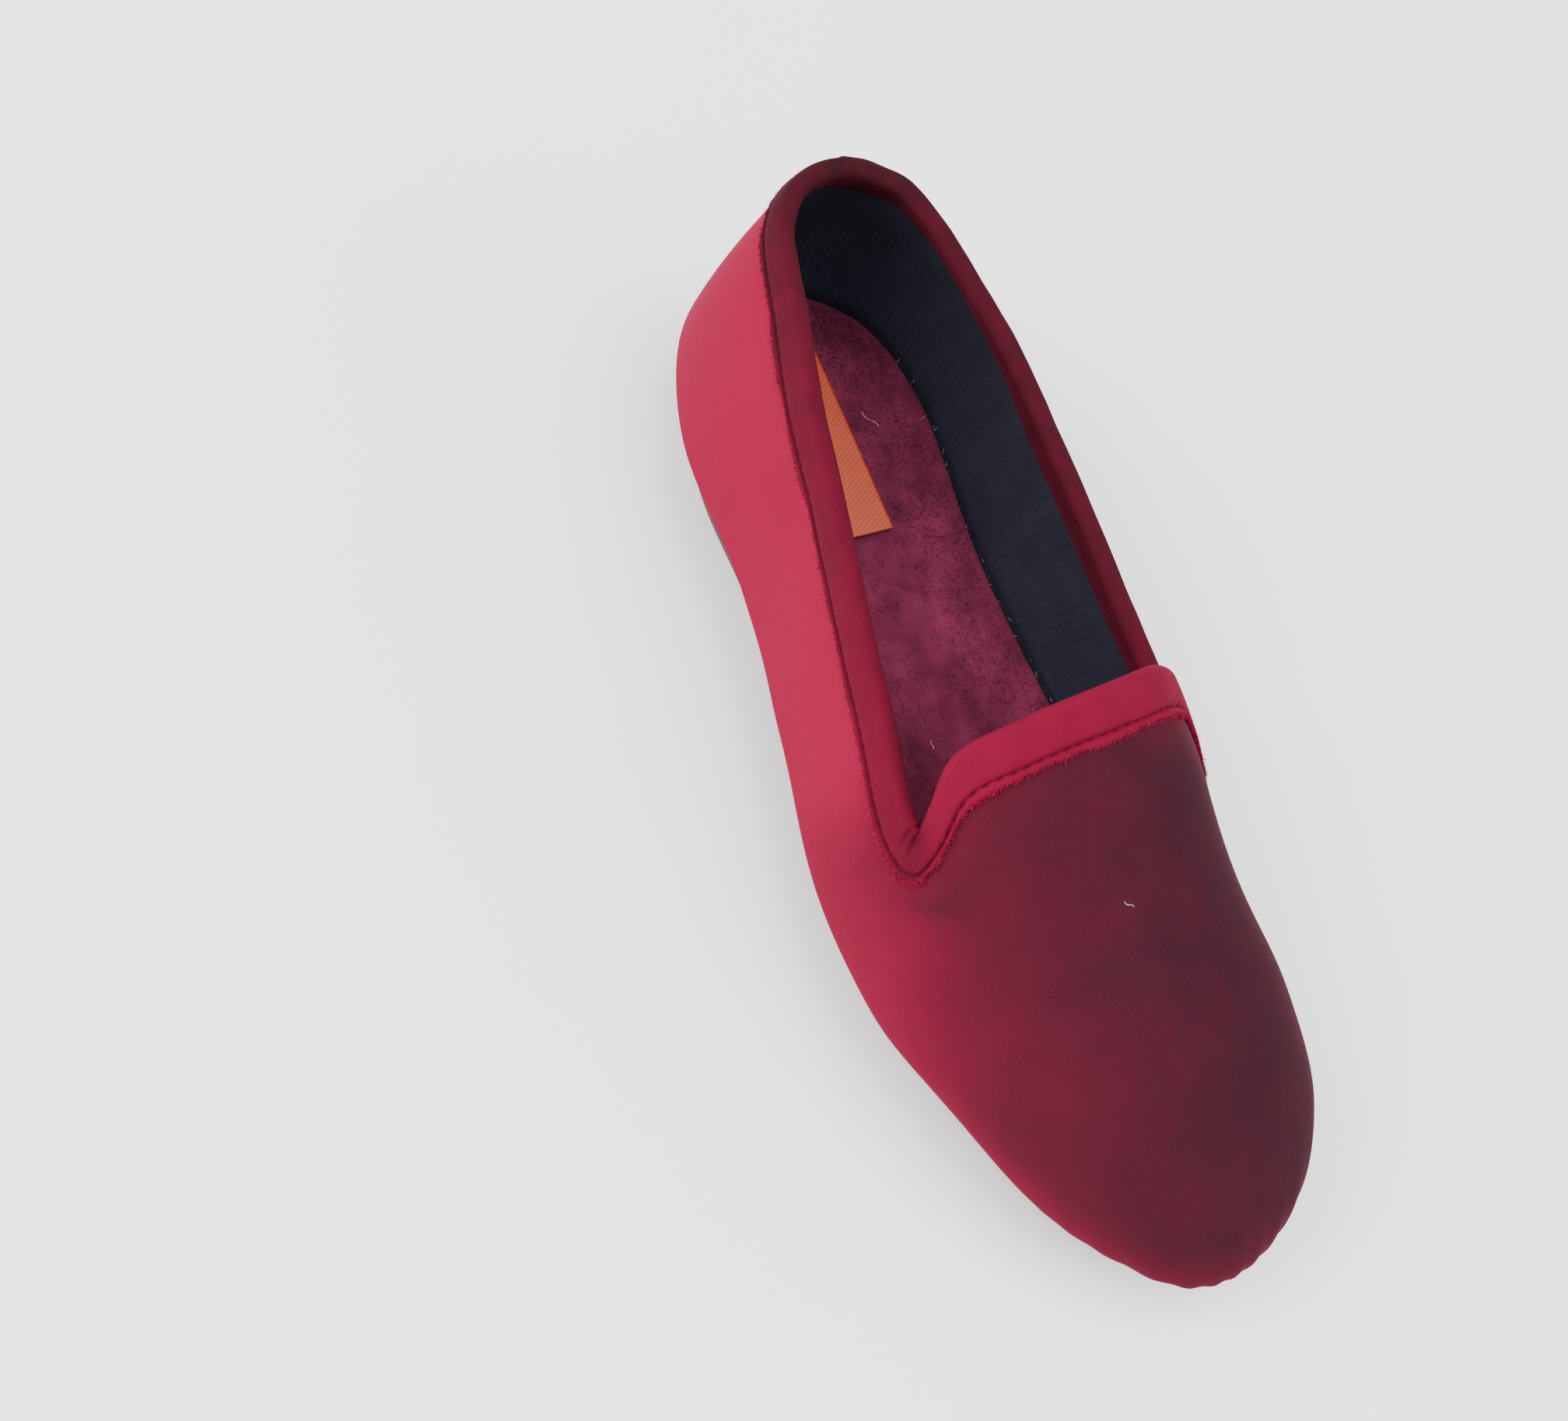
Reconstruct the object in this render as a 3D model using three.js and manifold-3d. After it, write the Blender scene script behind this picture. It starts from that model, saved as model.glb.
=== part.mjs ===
// House slipper, the right shoe: a velvet upper with a raised vamp tab on a moulded rubber sole.
// Millimetres. The toe points along +X, the inner side of the foot is +Y and the tread stands on z = 0.
// While shapes are worked out the back of the heel is at x = 0; the finished shoe is centred at the end.

import * as THREE from "three";
import { mergeVertices } from "three/addons/utils/BufferGeometryUtils.js";
import Module from "manifold-3d";

const wasm = await Module();
wasm.setup();

// Driving sizes
const LENGTH = 252;
const HALF = LENGTH / 2;
const WALL = 2.2;
const GAP = 0.3;
const INNER = 1;
const OUTER = -1;

// The widest line of the upper seen from above: half widths to the outer and inner side of the foot.
// The two ends are round: their roundness is the half width over the sine of the foot angle.
const HEEL_ROUND = 51.9;
const TOE_ROUND = 58.9;
const WIDTHS = [
  { at: 0.06, outer: 25.7, inner: 27.4 },
  { at: 0.16, outer: 36.2, inner: 34.7 },
  { at: 0.3, outer: 38.1, inner: 32.2 },
  { at: 0.44, outer: 44.4, inner: 33.5 },
  { at: 0.58, outer: 51.7, inner: 37.2 },
  { at: 0.7, outer: 50.5, inner: 39.4 },
  { at: 0.8, outer: 42.5, inner: 40.2 },
  { at: 0.9, outer: 32, inner: 37.4 },
  { at: 0.96, outer: 20.2, inner: 25.7 },
];

// Heights along the foot: the sole's top and the widest line of the upper
const LEVELS = [
  { at: 0, seat: 19, widest: 23.7 },
  { at: 0.15, seat: 18.5, widest: 21.7 },
  { at: 0.35, seat: 16, widest: 21.1 },
  { at: 0.5, seat: 13, widest: 20.5 },
  { at: 0.65, seat: 10.5, widest: 19.8 },
  { at: 0.8, seat: 10, widest: 19.7 },
  { at: 0.92, seat: 11, widest: 18.7 },
  { at: 1, seat: 13, widest: 19 },
];

// The ridge of the instep: its height, and how far it leans to the inner side.
// Behind the tab it is only the crown that the side walls lean towards.
const RIDGE = [
  { at: 0, height: 81.5, lean: 0 },
  { at: 0.15, height: 77.7, lean: 0 },
  { at: 0.35, height: 92.4, lean: 0 },
  { at: 0.5, height: 75.9, lean: 0.7 },
  { at: 0.6, height: 67.1, lean: 1.3 },
  { at: 0.7, height: 54.7, lean: 1.3 },
  { at: 0.8, height: 50.8, lean: 1.3 },
  { at: 0.9, height: 39.2, lean: 1.3 },
  { at: 1, height: 29.9, lean: 1.3 },
];
const TOE_DOME = 34;
const HEEL_DOME = 13;
const SHOULDER_POWER = 2.2;

// How the wall is spread flat: 0 on the ridge, 1 on the widest line, a little more at the sole
const SPINE_SHARE = 0.78;
const TUCK_SPREAD = 0.15;
const TUCK = 8;

// The topline round the heel, alike on both sides: its height by foot angle from the back of the heel
const QUARTER = [
  { foot: 0, height: 67.5 },
  { foot: 20, height: 65.8 },
  { foot: 42, height: 64.5 },
  { foot: 66, height: 59.5 },
  { foot: 88, height: 52.3 },
];
const QUARTER_STEP = 8;

// The topline over the instep, a row for each turn it takes through the inner notch, over the tab and
// through the outer notch: the wall's place along the foot that carries it, and its height
const TAB = [
  { foot: 98, at: 0.55, height: 49 },
  { foot: 110, at: 0.585, height: 48 },
  { foot: 121, at: 0.593, height: 49.2 },
  { foot: 131, at: 0.587, height: 51.6 },
  { foot: 141, at: 0.576, height: 54.4 },
  { foot: 152, at: 0.55, height: 60 },
  { foot: 166, at: 0.54, height: 67.5 },
  { foot: 180, at: 0.553, height: 90 },
  { foot: 194, at: 0.55, height: 67.5 },
  { foot: 208, at: 0.551, height: 60 },
  { foot: 219, at: 0.575, height: 54.2 },
  { foot: 229, at: 0.585, height: 51.6 },
  { foot: 239, at: 0.591, height: 49.6 },
  { foot: 250, at: 0.581, height: 48.6 },
  { foot: 262, at: 0.55, height: 49.4 },
];

// Binding folded over the topline
const BINDING_WIDTH = 9;
const BINDING_THICK = 1.2;

// Sole: side profile from its top edge down, arch, toe spring and the two tread plates
const SIDE = [
  { down: 0, out: 0.3 },
  { down: 0.12, out: 0.7 },
  { down: 0.4, out: 0.6 },
  { down: 0.65, out: -0.4 },
  { down: 0.85, out: -2.2 },
  { down: 1, out: -4.6 },
];
const PLATE = 1.6;
const PLATE_INSET = 6;
const PLATE_ROOT = 0.8;
const ARCH = { from: 72, to: 138, rise: 4.5 };
const TOE_SPRING = { from: 196, rise: 7.5 };
const HEEL_BEVEL = { from: 16, rise: 1.2 };
const FOREFOOT_ROUND = { centre: 250, radius: 124 };
const HEEL_ROUND_END = { centre: -30, radius: 104 };

// Leaf panels of the tread, mirrored over the shoe's length: each is outlined by a groove in the plate
const LEAVES = [
  { x: 38, y: 14, length: 36, width: 13, turn: 0.6 },
  { x: 156, y: 21, length: 44, width: 16, turn: 0.6 },
  { x: 192, y: 18, length: 42, width: 15, turn: 0.6 },
];
const LEAF_SHIFT = -6;
const GROOVE = { width: 1.3, depth: 0.9, steps: 7 };

// Insole and its label
const INSOLE = 4.2;
const INSOLE_EDGE = 1;
const INSOLE_FLARE = 0.7;
const LABEL = { length: 48, width: 22, thick: 0.6, x: 48.7, y: -6.9, turn: -0.015 };

// How finely the curved pieces are stepped
const COLUMNS = 96;
const WALL_ROWS = 9;
const ROW_POWER = 1.7;
const FINE = 1e-3;

const clamp = (value, low, high) => Math.min(Math.max(value, low), high);
const mix = (a, b, share) => a + (b - a) * share;

// A cubic curve through the rows of a table; with a period the rows go round in a ring
function smooth(rows, across, up, period = 0) {
  const laps = period ? [-period, 0, period] : [0];
  const xs = laps.flatMap((lap) => rows.map((row) => row[across] + lap));
  const ys = laps.flatMap(() => rows.map((row) => row[up]));
  const last = xs.length - 1;
  const steps = xs.slice(1).map((x, i) => x - xs[i]);
  const rises = steps.map((step, i) => (ys[i + 1] - ys[i]) / step);
  const slopes = xs.map((_, i) => {
    if (i === 0) return rises[0];
    if (i === last) return rises[last - 1];
    return (rises[i - 1] * steps[i] + rises[i] * steps[i - 1]) / (steps[i - 1] + steps[i]);
  });
  return (place) => {
    const x = clamp(place, xs[0], xs[last]);
    const above = xs.findIndex((edge) => edge > x);
    const i = above < 0 ? last - 1 : above - 1;
    const t = (x - xs[i]) / steps[i];
    const start = (1 + 2 * t) * (1 - t) ** 2 * ys[i] + t * (1 - t) ** 2 * steps[i] * slopes[i];
    const end = t * t * (3 - 2 * t) * ys[i + 1] + t * t * (t - 1) * steps[i] * slopes[i + 1];
    return start + end;
  };
}

// Outline of the last
const footAngle = (x) => Math.acos(clamp(1 - (2 * x) / LENGTH, -1, 1));
const rounds = WIDTHS.map((row) => {
  const angle = footAngle(row.at * LENGTH);
  return { angle, outer: row.outer / Math.sin(angle), inner: row.inner / Math.sin(angle) };
});
rounds.unshift({ angle: 0, outer: HEEL_ROUND, inner: HEEL_ROUND });
rounds.push({ angle: Math.PI, outer: TOE_ROUND, inner: TOE_ROUND });
const outerRound = smooth(rounds, "angle", "outer");
const innerRound = smooth(rounds, "angle", "inner");

function halfWidth(x, side) {
  const angle = footAngle(x);
  return (side > 0 ? innerRound(angle) : outerRound(angle)) * Math.sin(angle);
}

const seatCurve = smooth(LEVELS, "at", "seat");
const widestCurve = smooth(LEVELS, "at", "widest");
const ridgeCurve = smooth(RIDGE, "at", "height");
const leanCurve = smooth(RIDGE, "at", "lean");
const seatHeight = (x) => seatCurve(x / LENGTH);

// The ridge dies away in a round dome at the toe and at the heel
function crown(x) {
  const toe = clamp((x - LENGTH + TOE_DOME) / TOE_DOME, 0, 1);
  const heel = clamp((HEEL_DOME - x) / HEEL_DOME, 0, 1);
  return Math.sqrt((1 - toe ** 2) * (1 - heel ** 2));
}
const ridgeLean = (x) => leanCurve(x / LENGTH) * crown(x) ** 2;

// Height of the wall above the widest line, from a rounded section across the foot at x
function wallHeight(x, y) {
  const lean = ridgeLean(x);
  const side = y >= lean ? INNER : OUTER;
  const reach = Math.max(halfWidth(x, side) - side * lean, FINE);
  const share = clamp((side * (y - lean)) / reach, 0, 1);
  const foot = widestCurve(x / LENGTH);
  return foot + (ridgeCurve(x / LENGTH) - foot) * crown(x) * Math.sqrt(1 - share ** SHOULDER_POWER);
}

// A point on the outside of the upper, on the line from the ridge to the outline's station
function wallPoint(station, side, spread) {
  const spine = HALF + SPINE_SHARE * (station - HALF);
  const spineSide = ridgeLean(spine);
  const reachX = station - spine;
  const reachY = side * halfWidth(station, side) - spineSide;
  const below = Math.max(spread - 1, 0) / TUCK_SPREAD;
  const tucked = 1 - (TUCK * below ** 2) / (Math.hypot(reachX, reachY) + FINE);
  const share = spread <= 1 ? Math.sin((spread * Math.PI) / 2) : tucked;
  const x = spine + reachX * share;
  const y = spineSide + reachY * share;
  if (spread <= 1) return new THREE.Vector3(x, y, wallHeight(x, y));
  const edge = seatHeight(x) + GAP;
  return new THREE.Vector3(x, y, mix(widestCurve(station / LENGTH), edge, below));
}

// The wall laid out flat, and the way back from a flat place to the wall
function flatPlace(station, side, spread) {
  const x = HALF + (station - HALF) * mix(SPINE_SHARE, 1, spread);
  return { x, y: side * halfWidth(station, side) * spread };
}

function wallFromFlat(place) {
  const side = place.y >= 0 ? INNER : OUTER;
  const stationAt = (spread) => HALF + (place.x - HALF) / mix(SPINE_SHARE, 1, spread);
  let low = 0;
  let high = 1 + 1.2 * TUCK_SPREAD;
  for (let step = 0; step < 40; step += 1) {
    const middle = (low + high) / 2;
    const station = stationAt(middle);
    const inside = station > 0 && station < LENGTH;
    const reach = inside ? halfWidth(station, side) * middle : 0;
    if (reach > Math.abs(place.y)) high = middle;
    else low = middle;
  }
  return wallPoint(clamp(stationAt(high), 0, LENGTH), side, high);
}

// The topline on the flat wall
function spreadAtHeight(station, side, height) {
  let low = 0;
  let high = 1;
  for (let step = 0; step < 40; step += 1) {
    const middle = (low + high) / 2;
    if (wallPoint(station, side, middle).z > height) low = middle;
    else high = middle;
  }
  return high;
}
const mirrored = QUARTER.slice(1).map((row) => ({ ...row, foot: -row.foot }));
const bothQuarters = [...mirrored.reverse(), ...QUARTER];
const quarterHeight = smooth(bothQuarters, "foot", "height");
const quarterEnd = QUARTER.at(-1).foot;
const quarterRows = Array.from({ length: (2 * quarterEnd) / QUARTER_STEP + 1 }, (_, k) => {
  const foot = k * QUARTER_STEP - quarterEnd;
  const at = (1 - Math.cos(THREE.MathUtils.degToRad(foot))) / 2;
  return { foot, at, height: quarterHeight(foot) };
});
const toplineRows = [...quarterRows, ...TAB].map((row) => {
  const side = row.foot >= 0 && row.foot <= 180 ? INNER : OUTER;
  const station = row.at * LENGTH;
  return { foot: row.foot, ...flatPlace(station, side, spreadAtHeight(station, side, row.height)) };
});
const toplineX = smooth(toplineRows, "foot", "x", 360);
const toplineY = smooth(toplineRows, "foot", "y", 360);

// The upper's outside: foot angle in degrees round the shoe, rise 0 at the sole and 1 at the topline
function shell(foot, rise) {
  const turn = ((foot % 360) + 360) % 360;
  const side = turn <= 180 ? INNER : OUTER;
  const station = HALF * (1 - Math.cos(THREE.MathUtils.degToRad(turn)));
  const edge = flatPlace(station, side, 1 + TUCK_SPREAD);
  return wallFromFlat({ x: mix(edge.x, toplineX(turn), rise), y: mix(edge.y, toplineY(turn), rise) });
}

// The shell's own directions at a place: out of the wall, and up the wall
function shellFrame(foot, rise) {
  const along = shell(foot + 0.4, rise).sub(shell(foot - 0.4, rise)).normalize();
  const up = shell(foot, Math.min(rise + 0.02, 1)).sub(shell(foot, Math.max(rise - 0.02, 0)));
  const out = up.cross(along).normalize();
  return { out, over: along.clone().cross(out) };
}

// A point moved out of the shell along its own normal, or in where out is negative
function offShell(foot, rise, out) {
  return shell(foot, rise).addScaledVector(shellFrame(foot, rise).out, out);
}

// The line where the upper meets the sole, moved out sideways
function featherLine(foot, out) {
  const place = shell(foot, 0);
  const along = shell(foot + 0.5, 0).sub(shell(foot - 0.5, 0));
  const length = Math.hypot(along.x, along.y);
  const sideways = new THREE.Vector2(-along.y / length, along.x / length);
  return new THREE.Vector2(place.x + out * sideways.x, place.y + out * sideways.y);
}

// A closed skin over columns of points that run round the shoe. Ring columns close on themselves, and
// fan columns start and end on a spine that both sides of the shoe share. Each four-sided patch is split
// along its shorter diagonal.
function skin(columns, ring) {
  const rows = columns[0].length;
  const points = columns.flat();
  const faces = [];
  columns.forEach((_, j) => {
    const next = (j + 1) % columns.length;
    for (let k = 0; k < (ring ? rows : rows - 1); k += 1) {
      const above = (k + 1) % rows;
      const [a, b, c, d] = [j * rows + k, next * rows + k, next * rows + above, j * rows + above];
      const rising = points[a].distanceTo(points[c]) < points[b].distanceTo(points[d]);
      faces.push(...(rising ? [a, b, c, a, c, d] : [a, b, d, b, c, d]));
    }
  });
  const geometry = new THREE.BufferGeometry();
  const places = points.flatMap((point) => point.toArray());
  geometry.setAttribute("position", new THREE.Float32BufferAttribute(places, 3));
  geometry.setIndex(faces);
  return facingOut(mergeVertices(geometry, FINE));
}

// Turns the faces of a closed skin outwards and drops those that have shrunk to a line
function facingOut(geometry) {
  const place = geometry.getAttribute("position");
  const corner = (i) => new THREE.Vector3().fromBufferAttribute(place, i);
  const kept = [];
  let volume = 0;
  for (let i = 0; i < geometry.index.count; i += 3) {
    const [a, b, c] = [0, 1, 2].map((k) => geometry.index.getX(i + k));
    if (a === b || b === c || c === a) continue;
    kept.push([a, b, c]);
    volume += corner(a).dot(corner(b).cross(corner(c)));
  }
  geometry.setIndex(kept.flatMap(([a, b, c]) => (volume > 0 ? [a, b, c] : [a, c, b])));
  return geometry;
}

function solidOf(geometry) {
  const bare = new THREE.BufferGeometry();
  bare.setAttribute("position", geometry.getAttribute("position"));
  bare.setIndex(geometry.index);
  const merged = mergeVertices(bare, FINE);
  const vertProperties = new Float32Array(merged.getAttribute("position").array);
  return new wasm.Manifold(
    new wasm.Mesh({ numProp: 3, vertProperties, triVerts: new Uint32Array(merged.index.array) }),
  );
}

function geometryOf(solid) {
  const mesh = solid.getMesh();
  const geometry = new THREE.BufferGeometry();
  geometry.setAttribute("position", new THREE.Float32BufferAttribute(mesh.vertProperties, 3));
  geometry.setIndex(Array.from(mesh.triVerts));
  return geometry;
}

const footAngles = Array.from({ length: COLUMNS }, (_, j) => (j * 360) / COLUMNS);

// A fan solid over the feather line: rows of side offset and height, closed over a spine above and below
function fan(rows, topHeight, bottomHeight) {
  const columns = footAngles.map((foot) => {
    const edges = rows.map((row) => {
      const place = featherLine(foot, row.out);
      const z = mix(topHeight(place.x), bottomHeight(place.x), row.down);
      return new THREE.Vector3(place.x, place.y, z);
    });
    const across = (edge, share, height) => {
      const spine = HALF - HALF * SPINE_SHARE * Math.cos(THREE.MathUtils.degToRad(foot));
      const x = mix(spine, edge.x, share);
      return new THREE.Vector3(x, mix(0, edge.y, share), height(x));
    };
    const top = [0, 0.5].map((share) => across(edges[0], share, topHeight));
    const bottom = [0.5, 0].map((share) => across(edges.at(-1), share, bottomHeight));
    return [...top, ...edges, ...bottom];
  });
  return skin(columns, false);
}

// Rows up the wall: steps that widen from the sole to the binding's lower edge, its middle and the topline
function bindingRises(foot) {
  const wallLength = shell(foot, 1).distanceTo(shell(foot, 0.5)) * 2;
  return [1, 0.5, 0].map((share) => 1 - (share * BINDING_WIDTH) / wallLength);
}

function wallRises(foot) {
  const [edge, middle, top] = bindingRises(foot);
  const lower = Array.from({ length: WALL_ROWS }, (_, k) => edge * (k / WALL_ROWS) ** ROW_POWER);
  return [...lower, edge, middle, top];
}

// Upper: outside from the sole up to the topline, then the inside back down
function upper() {
  const columns = footAngles.map((foot) => {
    const rises = wallRises(foot);
    const outside = rises.map((rise) => shell(foot, rise));
    const inside = rises.map((rise) => offShell(foot, rise, -WALL));
    inside[0].z = outside[0].z;
    return [...outside, ...inside.reverse()];
  });
  return skin(columns, true);
}

// Binding: a folded strip over the topline, down the outside and the inside by its width
function collarBinding() {
  const columns = footAngles.map((foot) => {
    const rises = bindingRises(foot);
    const { over } = shellFrame(foot, 1);
    const near = GAP;
    const far = GAP + BINDING_THICK;
    const outer = (out) => rises.map((rise) => offShell(foot, rise, out));
    const inner = (out) => rises.map((rise) => offShell(foot, rise, -WALL - out)).reverse();
    const ridge = (out, lift) => offShell(foot, 1, out).addScaledVector(over, lift);
    return [
      ...outer(far),
      ridge(GAP, far),
      ridge(-WALL - GAP, far),
      ...inner(far),
      ...inner(near).reverse().slice(0, 2),
      ridge(-WALL - near, near),
      ridge(near, near),
      ...outer(near).reverse().slice(1),
    ];
  });
  return skin(columns, true);
}

// Sole: the moulded body with its arch and toe spring, and the two plates that stand on the floor
function treadRise(x) {
  const archShare = clamp((x - ARCH.from) / (ARCH.to - ARCH.from), 0, 1);
  const toeShare = clamp((x - TOE_SPRING.from) / (LENGTH - TOE_SPRING.from), 0, 1);
  const heelShare = clamp((HEEL_BEVEL.from - x) / HEEL_BEVEL.from, 0, 1);
  const arch = ARCH.rise * Math.sin(Math.PI * archShare) ** 2;
  return arch + TOE_SPRING.rise * toeShare ** 2 + HEEL_BEVEL.rise * heelShare ** 2;
}

function plateEnd({ centre, radius }) {
  const round = new THREE.CylinderGeometry(radius, radius, LENGTH, 96);
  round.rotateX(Math.PI / 2);
  round.translate(centre, 0, 0);
  return solidOf(round);
}

// A leaf outline of two equal bows, as a prism that follows the tread from below it to the groove's floor
function leafPrism(leaf, margin) {
  const half = leaf.length / 2 + margin * 2;
  const bow = leaf.width / 2 + margin;
  const shares = Array.from({ length: GROOVE.steps }, (_, k) => (2 * k) / GROOVE.steps - 1);
  const points = [1, -1].flatMap((way) =>
    shares.map((share) => new THREE.Vector2(way * half * share, -way * bow * (1 - share ** 2))),
  );
  const drop = { depth: 2 * GROOVE.depth, bevelEnabled: false };
  const prism = new THREE.ExtrudeGeometry(new THREE.Shape(points), drop);
  prism.translate(0, 0, -GROOVE.depth);
  prism.rotateZ(leaf.turn);
  prism.translate(leaf.x, leaf.y + LEAF_SHIFT, 0);
  const place = prism.getAttribute("position");
  for (let i = 0; i < place.count; i += 1) place.setZ(i, place.getZ(i) + treadRise(place.getX(i)));
  return solidOf(prism);
}

function grooves() {
  const bothSides = LEAVES.flatMap((leaf) => [leaf, { ...leaf, y: -leaf.y, turn: -leaf.turn }]);
  const rings = bothSides.map((leaf) => leafPrism(leaf, GROOVE.width).subtract(leafPrism(leaf, 0)));
  return rings.reduce((all, ring) => all.add(ring));
}

function outsole() {
  const bodyBottom = (x) => PLATE + treadRise(x);
  const body = solidOf(fan(SIDE, seatHeight, bodyBottom));
  const plateEdges = [
    { down: 0, out: -PLATE_INSET },
    { down: 1, out: -PLATE_INSET - PLATE / 2 },
  ];
  const plates = solidOf(fan(plateEdges, (x) => bodyBottom(x) + PLATE_ROOT, treadRise));
  const forefoot = plates.intersect(plateEnd(FOREFOOT_ROUND));
  const heel = plates.intersect(plateEnd(HEEL_ROUND_END));
  return geometryOf(body.add(forefoot).add(heel).subtract(grooves()));
}

// Insole: a plush sock that lies inside the upper on the sole and flares with the foot of the wall
const insoleTop = (x) => seatHeight(x) + GAP + INSOLE;

function insole() {
  const clear = WALL - 2 * GAP;
  const rows = [
    { down: 0, out: INSOLE_FLARE - clear - INSOLE_EDGE },
    { down: INSOLE_EDGE / INSOLE, out: INSOLE_FLARE - clear },
    { down: 1, out: -clear },
  ];
  return fan(rows, insoleTop, (x) => seatHeight(x) + GAP);
}

// Label: a thin woven slip that follows the insole's top
function insoleLabel() {
  const slip = new THREE.BoxGeometry(LABEL.length, LABEL.width, LABEL.thick, 6, 1, 1);
  slip.deleteAttribute("normal");
  slip.deleteAttribute("uv");
  slip.rotateZ(LABEL.turn);
  slip.translate(LABEL.x, LABEL.y, 0);
  const place = slip.getAttribute("position");
  for (let i = 0; i < place.count; i += 1) {
    place.setZ(i, place.getZ(i) + insoleTop(place.getX(i)) + GAP + LABEL.thick / 2);
  }
  return mergeVertices(slip, FINE);
}

// Finishes
const velvet = { color: 0x8f2d40, roughness: 0.95, metalness: 0 };
const bindingVelvet = { color: 0x852737, roughness: 0.95, metalness: 0 };
const rubber = { color: 0x643840, roughness: 0.6, metalness: 0 };
const plush = { color: 0x6d3045, roughness: 1, metalness: 0 };
const woven = { color: 0xc96a38, roughness: 0.8, metalness: 0 };

function piece(name, geometry, finish) {
  const mesh = new THREE.Mesh(geometry, new THREE.MeshStandardMaterial(finish));
  mesh.name = name;
  return mesh;
}

const slipper = new THREE.Group();
slipper.add(piece("outsole", outsole(), rubber));
slipper.add(piece("upper", upper(), velvet));
slipper.add(piece("collar_binding", collarBinding(), bindingVelvet));
slipper.add(piece("insole", insole(), plush));
slipper.add(piece("insole_label", insoleLabel(), woven));

// Stands centred over the origin, on its tread
const middle = new THREE.Box3().setFromObject(slipper).getCenter(new THREE.Vector3());
slipper.position.set(-middle.x, -middle.y, 0);

export default slipper;
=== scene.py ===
import bpy
import numpy as np
from mathutils import Matrix


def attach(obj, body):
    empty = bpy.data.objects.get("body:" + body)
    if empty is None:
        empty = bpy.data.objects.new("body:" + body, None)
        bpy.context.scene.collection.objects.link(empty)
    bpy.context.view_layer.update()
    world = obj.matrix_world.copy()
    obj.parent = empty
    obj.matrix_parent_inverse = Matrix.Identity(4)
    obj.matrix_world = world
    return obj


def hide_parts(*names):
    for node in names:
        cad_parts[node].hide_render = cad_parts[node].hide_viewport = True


# House slipper, the right shoe: velvet upper, folded binding, knit lining, plush insole, rubber sole.
# Shapes are worked out in millimetres with the back of the heel at x = 0, the inner side of the foot
# along +Y and the tread on z = 0, and go into the meshes in metres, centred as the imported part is.

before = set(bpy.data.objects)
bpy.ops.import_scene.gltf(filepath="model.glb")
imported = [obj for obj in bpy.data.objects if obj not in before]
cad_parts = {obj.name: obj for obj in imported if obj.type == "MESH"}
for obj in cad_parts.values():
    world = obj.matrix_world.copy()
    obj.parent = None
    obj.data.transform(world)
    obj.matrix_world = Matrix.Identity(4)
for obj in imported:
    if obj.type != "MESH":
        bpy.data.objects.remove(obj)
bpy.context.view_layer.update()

# Sizes of the last, as in the part's source
LENGTH = 252
HALF = LENGTH / 2
CENTRE = np.array([125.5616, -5.9672, 0])
MILLIMETRE = 0.001
WALL = 2.2
GAP = 0.3
HEEL_ROUND = 51.9
TOE_ROUND = 58.9
WIDTHS = {
    "at": [0.06, 0.16, 0.3, 0.44, 0.58, 0.7, 0.8, 0.9, 0.96],
    "outer": [25.7, 36.2, 38.1, 44.4, 51.7, 50.5, 42.5, 32, 20.2],
    "inner": [27.4, 34.7, 32.2, 33.5, 37.2, 39.4, 40.2, 37.4, 25.7],
}
LEVELS = {
    "at": [0, 0.15, 0.35, 0.5, 0.65, 0.8, 0.92, 1],
    "seat": [19, 18.5, 16, 13, 10.5, 10, 11, 13],
    "widest": [23.7, 21.7, 21.1, 20.5, 19.8, 19.7, 18.7, 19],
}
RIDGE = {
    "at": [0, 0.15, 0.35, 0.5, 0.6, 0.7, 0.8, 0.9, 1],
    "height": [81.5, 77.7, 92.4, 75.9, 67.1, 54.7, 50.8, 39.2, 29.9],
    "lean": [0, 0, 0, 0.7, 1.3, 1.3, 1.3, 1.3, 1.3],
}
TOE_DOME = 34
HEEL_DOME = 13
SHOULDER_POWER = 2.2
SPINE_SHARE = 0.78
TUCK_SPREAD = 0.15
TUCK = 8
QUARTER = {"foot": [0, 20, 42, 66, 88], "height": [67.5, 65.8, 64.5, 59.5, 52.3]}
QUARTER_STEP = 8
TAB_ROWS = [
    (98, 0.55, 49),
    (110, 0.585, 48),
    (121, 0.593, 49.2),
    (131, 0.587, 51.6),
    (141, 0.576, 54.4),
    (152, 0.55, 60),
    (166, 0.54, 67.5),
    (180, 0.553, 90),
    (194, 0.55, 67.5),
    (208, 0.551, 60),
    (219, 0.575, 54.2),
    (229, 0.585, 51.6),
    (239, 0.591, 49.6),
    (250, 0.581, 48.6),
    (262, 0.55, 49.4),
]
TAB = dict(zip(("foot", "at", "height"), zip(*TAB_ROWS)))
SOLE_SIDE = {"down": [0, 0.12, 0.4, 0.65, 0.85, 1], "out": [0.3, 0.7, 0.6, -0.4, -2.2, -4.6]}
PLATE = 1.6
PLATE_INSET = 6
ARCH = {"from": 72, "to": 138, "rise": 4.5}
TOE_SPRING = {"from": 196, "rise": 7.5}
HEEL_BEVEL = {"from": 16, "rise": 1.2}
FOREFOOT_ROUND = {"centre": 250, "radius": 124}
HEEL_ROUND_END = {"centre": -30, "radius": 104}
LEAVES = {
    "x": [38, 156, 192],
    "y": [14, 21, 18],
    "length": [36, 44, 42],
    "width": [13, 16, 15],
    "turn": [0.6, 0.6, 0.6],
}
LEAF_SHIFT = -6
INSOLE = 4.2
LABEL = {"length": 48, "width": 22, "thick": 0.6, "x": 48.7, "y": -6.9, "turn": -0.015}

# Halvings that settle a search far below a micrometre
HALVINGS = 40


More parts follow.
